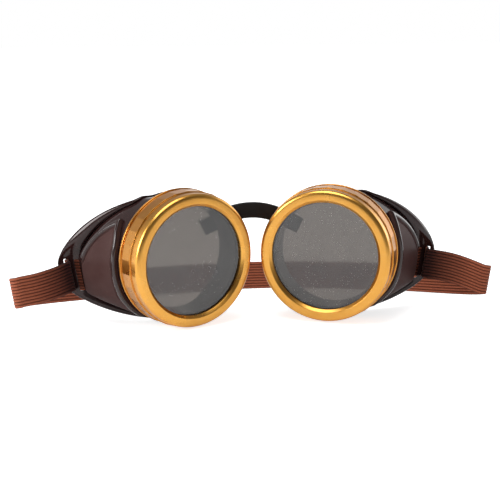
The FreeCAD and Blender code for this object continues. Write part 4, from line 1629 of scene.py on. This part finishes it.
@dataclass(frozen=True)
class ElasticStrap:
    """One half of the ribbed elastic: the bowed back, and the loop woven through the ear."""

    TAIL_ROWS: ClassVar[tuple[float, ...]] = (0.25, 0.5, 0.75, 1.0)
    place: CupPlace
    form: CupForm
    half_centres: float = 27.9
    toe_in: float = 26.4
    rim_sweep: float = 43.5
    width: float = 13.5
    thick: float = 1.2
    half_span: float = 106.6
    fold_depth: float = 10.0
    bow: float = 58.0
    back_height: float = -23.45
    fold_height: float = -14.6
    fold_skew: float = -1.1
    fold_radius: float = 2.4
    fold_lean: float = 0.15
    fold_climb: float = 1.1
    rise_power: float = 1.8
    rise_skew: float = 0.5
    sway: float = 0.1
    sway_skew: float = 1.0
    ripple: float = 0.12
    ripple_turn: float = 9.0
    lead_bend: float = 1.6
    lead_depth: float = 3.2
    hairpin: float = 1.0
    hairpin_depth: float = 0.7
    tail: float = 6.4
    rib_points: int = 8
    rib_power: float = 0.6
    rib_foot: float = 0.68
    rib_rise: float = 0.32
    edge_thin: float = 0.12
    edge_round: float = 0.7
    back_steps: int = 72
    fold_steps: int = 16
    ply_steps: int = 28
    lead_steps: int = 10
    hairpin_steps: int = 12
    flex_start: float = 15.0
    flex_end: float = 100.0
    crease: float = 60.0

    def turned(self, a: float, b: float) -> Vector:
        """Return a cup-local plan point in the design frame of the right side."""
        cosine, sine = math.cos(math.radians(self.toe_in)), math.sin(math.radians(self.toe_in))
        return Vector((self.half_centres + a * cosine + b * sine, b * cosine - a * sine, 0))

    def skewed(self, plain: float, skew: float) -> float:
        """Return a measure that differs between the two sides."""
        return plain + self.place.side.value * skew

    @staticmethod
    def bent(centre: Vector, radius: float, begin: float, sweep: float, steps: int) -> list[tuple[Vector, float]]:
        """Sample a bend in plan.

        Args:
            centre: Centre of the bend.
            radius: Its radius.
            begin: Angle of its first point.
            sweep: Angle to its last point.
            steps: How many chords make it.

        Returns:
            Points with their headings, both ends included.
        """
        spots = []
        for index in range(steps + 1):
            angle = begin + sweep * index / steps
            spots.append((centre + ahead(angle) * radius, angle + math.copysign(math.pi / 2, sweep)))
        return spots

    @staticmethod
    def measured(marks: Sequence[tuple[Vector, float, Vector]], run: float) -> list[Station]:
        """Measure the run along a line of cross-sections.

        Args:
            marks: Each one's place, heading and lean.
            run: Length of strap before the first.

        Returns:
            The stations in order.
        """
        stations, before = [], marks[0][0]
        for point, heading, lean in marks:
            run += (point - before).length
            before = point
            stations.append(Station(point, heading, lean, run))
        return stations

    def back(self) -> list[Station]:
        """Draw the bowed half from the middle of the back to the fold.

        Returns:
            The stations in order.
        """
        marks = []
        height = self.skewed(self.fold_height, self.fold_skew)
        power = self.skewed(self.rise_power, self.rise_skew)
        for index in range(self.back_steps + 1):
            turn = math.pi / 2 * index / self.back_steps
            rise = 1 - math.cos(turn)
            point = Vector((self.half_span * math.sin(turn), self.fold_depth + self.bow * math.cos(turn),
                            self.back_height + (height - self.back_height) * rise ** power))
            heading = math.atan2(-self.bow * math.sin(turn), self.half_span * math.cos(turn))
            marks.append((point, heading, Vector((self.fold_lean * rise, 0, 1))))
        return self.measured(marks, 0.0)

    def loop(self, run: float) -> list[Station]:
        """Draw the fold, the near ply, the pass through the slot and the tail.

        Args:
            run: Length of strap before the fold.

        Returns:
            The stations in order.
        """
        form, toe, sweep = self.form, math.radians(self.toe_in), math.radians(self.rim_sweep)
        rim = form.rim_offset + math.tan(sweep) * form.slot_reach
        fold_centre = Vector((self.half_span - self.fold_radius, self.fold_depth, 0))
        lead_centre = self.turned(form.slot_reach + self.lead_bend, rim - self.lead_depth)
        gap = lead_centre - fold_centre
        lead = math.atan2(gap.y, gap.x) + math.asin((self.fold_radius - self.lead_bend) / gap.length)
        square = math.pi / 2
        fold = self.bent(fold_centre, self.fold_radius, 0, lead + square - math.tau, self.fold_steps)
        entry = self.bent(lead_centre, self.lead_bend, lead + square, square - toe - lead, self.lead_steps)
        pivot = self.turned(form.slot_reach - self.hairpin, rim - self.hairpin_depth)
        tuck = self.bent(pivot, self.hairpin, -toe, square + sweep, self.hairpin_steps)
        fold_lean = Vector((self.fold_lean, 0, 1))
        slot_lean = self.turned(form.slot_lean, form.slot_lean * math.tan(sweep)) - self.turned(0, 0)
        slot_lean = slot_lean + Vector((0, 0, 1))
        height = self.skewed(self.fold_height, self.fold_skew)
        marks = [(point, heading, height + self.fold_climb * index / self.fold_steps, fold_lean)
                 for index, (point, heading) in enumerate(fold)]
        height += self.fold_climb
        (start, heading), (end, _) = fold[-1], entry[0]
        for index in range(1, self.ply_steps):
            share = index / self.ply_steps
            arch = math.sin(math.pi * share)
            ripple = self.ripple * math.sin(share * self.ripple_turn) * arch
            sway = self.skewed(self.sway, self.sway_skew) * arch
            marks.append((start.lerp(end, share) + across(heading) * ripple, heading,
                          height + (form.slot_centre - height) * share + sway, fold_lean.lerp(slot_lean, share)))
        point, turn = tuck[-1]
        tail = ahead(turn) * self.tail
        held = entry + tuck + [(point + tail * share, turn) for share in self.TAIL_ROWS]
        marks += [(point, turn, form.slot_centre, slot_lean) for point, turn in held]
        return self.measured([(Vector((point.x, point.y, level)), turn, lean)
                              for point, turn, level, lean in marks], run)

    def section(self) -> list[Triple]:
        """Draw the ribbed cross-section.

        Returns:
            Each point's height share, its offset and its place across the weave.
        """
        face = []
        count = STRAP_RIBS * self.rib_points
        for index in range(count + 1):
            share = index / count
            rib = abs(math.sin(math.pi * STRAP_RIBS * share)) ** self.rib_power
            edge = min(share, 1 - share) * self.width
            full = self.rib_foot + self.rib_rise * rib
            thin = math.sqrt(min(self.edge_thin + edge / self.edge_round, 1.0))
            face.append((share * 2 - 1, self.thick / 2 * full * thin, share))
        return [(height, -offset, share) for height, offset, share in face] + face[::-1]

    def ribbon(self, name: str, stations: Sequence[Station], slot_run: float) -> Piece:
        """Sweep the cross-section along stations as one closed piece.

        Args:
            name: Name of the piece.
            stations: Where its cross-sections stand.
            slot_run: Run at which the strap enters the slot, from which the weave is mapped.

        Returns:
            The new piece.
        """
        section, rows = self.section(), []
        for station in stations:
            sideways, row = across(station.heading), []
            for height, offset, _ in section:
                spot = station.point + sideways * offset + station.lean * (height * self.width / 2)
                row.append(self.place.design(spot.x, spot.y, spot.z))
            rows.append(row)

        def flat(i: int, j: int) -> Pair:
            """Return a corner's place on the weave."""
            return stations[i].run - slot_run, section[j % len(section)][2]

        draft = Draft()
        draft.sweep(rows, flat)
        return draft.make(name, self.crease)

    def build(self, material: Material) -> list[Piece]:
        """Build this side's back half and ear loop, and attach the loop to its cup.

        Args:
            material: The strap's finish.

        Returns:
            The back half and the loop.
        """
        word = self.place.side.word
        behind = self.back()
        through = self.loop(behind[-1].run)
        slot_run = through[self.fold_steps + self.ply_steps].run
        back = self.ribbon(f"{word}_strap_back", behind, slot_run)
        loop = self.ribbon(f"{word}_strap_loop", through, slot_run)
        for piece in (back, loop):
            dress(piece, material, "strap", "elastic_strap")
        start = self.place.design(self.flex_start, self.fold_depth, self.fold_height)
        end = self.place.design(self.flex_end, self.fold_depth, self.fold_height)
        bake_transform(back)
        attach(loop, f"{word}_cup")
        return [back, loop]


@dataclass(frozen=True)
class Softbox:
    """One soft square lamp: its place, what it is aimed at, its size in metres and its power in watts."""

    name: str
    spot: Triple
    aim: Triple
    size: float
    power: float

    def hang(self) -> None:
        """Add the lamp to the scene."""
        data = bpy.data.lights.new(self.name, "AREA")
        data.size, data.energy = self.size, self.power
        light = bpy.data.objects.new(self.name, data)
        light.location = self.spot
        light.rotation_euler = (Vector(self.aim) - Vector(self.spot)).to_track_quat("-Z", "Y").to_euler()
        bpy.context.scene.collection.objects.link(light)


@dataclass(frozen=True)
class Studio:
    """Pale floor, soft lamps, white surroundings and the camera, which is placed in millimetres and degrees."""

    focal: float = 86.4
    sensor: float = 36.0
    clip: Pair = (0.01, 50.0)
    yaw: float = -8.55
    pitch: float = 12.37
    roll: float = -0.15
    aside: float = -4.65
    above: float = 4.07
    distance: float = 520.68
    origin: Triple = (0.0, -28.3084, 30.2)
    sky: Colour = (0.95, 0.97, 1.0)
    sky_strength: float = 0.40
    front_grey: float = 0.28
    top_grey: float = 0.32
    floor_reach: float = 2.5
    floor_tone: Colour = (0.80, 0.80, 0.80)
    floor_rough: float = 0.9
    floor_white: float = 0.75
    floor_mirrored: float = 0.22
    lamps: tuple[Softbox, ...] = (
        Softbox("top_softbox", (-0.15, -0.10, 0.90), (0.0, -0.02, 0.03), 0.65, 5.4),
        Softbox("left_softbox", (-0.80, -0.12, 0.34), (-0.02, -0.02, 0.03), 0.40, 5.0),
        Softbox("right_softbox", (0.72, 0.30, 0.26), (0.02, -0.02, 0.03), 0.50, 1.1),
    )

    def camera(self) -> None:
        """Set the camera to the photograph's view."""
        yaw, pitch, roll = (math.radians(value) for value in (self.yaw, self.pitch, self.roll))
        back = Vector((math.sin(yaw) * math.cos(pitch), -math.cos(yaw) * math.cos(pitch), math.sin(pitch)))
        level = Vector((math.cos(yaw), math.sin(yaw), 0))
        upright = level.cross(-back)
        right = level * math.cos(roll) + upright * math.sin(roll)
        up = upright * math.cos(roll) - level * math.sin(roll)
        spot = back * self.distance + right * self.aside + up * self.above + Vector(self.origin)
        data = bpy.data.cameras.new("photo_camera")
        data.lens, data.sensor_width = self.focal, self.sensor
        data.clip_start, data.clip_end = self.clip
        camera = bpy.data.objects.new("photo_camera", data)
        turn = Matrix((right, up, back)).transposed().to_4x4()
        camera.matrix_world = Matrix.Translation(spot * MM) @ turn
        bpy.context.scene.collection.objects.link(camera)
        bpy.context.scene.camera = camera

    def surroundings(self) -> None:
        """Light the scene evenly and show white behind it, greyer to the front and top in reflections."""
        world = bpy.data.worlds.new("studio")
        bpy.context.scene.world = world
        world.use_nodes = True
        world.node_tree.nodes.clear()
        nodes = Nodes(world.node_tree)
        path = nodes.add("LightPath").outputs
        facing = nodes.add("SeparateXYZ", {0: nodes.add("TexCoord").outputs["Generated"]}).outputs
        depth = nodes.spread(facing[1], low=-0.35, high=0.45, to_low=self.front_grey)
        height = nodes.spread(facing[2], low=0.15, high=0.5, to_low=1.0, to_high=self.top_grey)
        shown = nodes.most(nodes.times(depth, height), path["Is Camera Ray"])
        seen = nodes.add("Background", {"Color": WHITE, "Strength": shown}).outputs[0]
        soft = nodes.add("Background", {"Color": self.sky, "Strength": self.sky_strength}).outputs[0]
        direct = nodes.most(path["Is Camera Ray"], path["Is Glossy Ray"], path["Is Transmission Ray"])
        mix = nodes.add("MixShader", {0: direct, 1: soft, 2: seen})
        nodes.add("OutputWorld", {"Surface": mix.outputs[0]})

    def floor(self) -> None:
        """Lay a pale floor that keeps the goggles' shadow."""
        mesh, reach = bpy.data.meshes.new("studio_floor"), self.floor_reach
        corners = [(-reach, -reach, 0), (reach, -reach, 0), (reach, reach, 0), (-reach, reach, 0)]
        mesh.from_pydata(corners, [], [(0, 1, 2, 3)])
        floor = bpy.data.objects.new("studio_floor", mesh)
        bpy.context.scene.collection.objects.link(floor)
        bench = Bench("pale_floor")
        path = bench.add("LightPath").outputs
        seen = bench.times(path["Is Camera Ray"], self.floor_white)
        mirrored = bench.times(bench.most(path["Is Glossy Ray"], path["Is Transmission Ray"]), self.floor_mirrored)
        bench.coat({
            "Base Color": self.floor_tone,
            "Roughness": self.floor_rough,
            "Specular IOR Level": 0.0,
            "Emission Color": WHITE,
            "Emission Strength": bench.sum("ADD", seen, mirrored),
        })
        mesh.materials.append(bench.material)

    def build(self) -> None:
        """Set up camera, light, surroundings and floor."""
        self.camera()
        self.surroundings()
        self.floor()
        for lamp in self.lamps:
            lamp.hang()
        bpy.context.scene.view_settings.view_transform = "Standard"


def main() -> None:
    """Build the goggles and the studio, piece by piece."""
    logging.basicConfig(level=logging.INFO, format="%(name)s: %(message)s")
    Studio().build()
    effects = Effects()
    gold = GoldCoat().make(effects)
    gloss = Moulding(
        name="cup_gloss", body=(0.0165, 0.0064, 0.0060), light=(0.026, 0.0112, 0.0104), smooth=0.07, dull=0.13,
        grain=(1400.0, 75.0), relief=(0.25, 0.00002), gloss=0.45, shine=0.18).make(effects)
    satin = Moulding(
        name="panel_satin", body=(0.054, 0.0255, 0.0232), light=(0.072, 0.0385, 0.0355), smooth=0.40, dull=0.48,
        grain=(2600.0, 75.0), relief=(0.25, 0.00004), gloss=0.0, shine=0.05, polish="bead").make(effects)
    tints = {Side.LEFT: LensTint(name="left_lens_tint", dust=(2300.0, 0.7)).make(effects),
             Side.RIGHT: LensTint(name="right_lens_tint", dust=(2300.0, 1.6)).make(effects)}
    seat = SoftRubber(
        name="gasket_rubber", body=(0.020, 0.018, 0.017), bloom=(0.045, 0.042, 0.040), dull=0.8).make(effects)
    pliant = SoftRubber(
        name="bridge_rubber", body=(0.006, 0.0055, 0.0055), bloom=(0.016, 0.015, 0.015), dull=0.72).make(effects)
    elastic = WovenElastic().make(effects)
    for side in Side:
        place, form = CupPlace.from_record(side), CupForm()
        pieces = [
            LensRing(place).build(gold),
            EyeCup(place, form).build(gloss),
            VentCover(place, form).build(satin),
            NoseBridge(place).build(pliant),
            *ElasticStrap(place, form).build(elastic),
            dress_node(f"{side.word}_tinted_lens", tints[side]),
            dress_node(f"{side.word}_lens_gasket", seat),
        ]
        for piece in pieces:
            LOG.info("%s: %d faces in %s", piece.name, len(piece.data.polygons), piece.active_material.name)


if __name__ == "__main__":
    main()
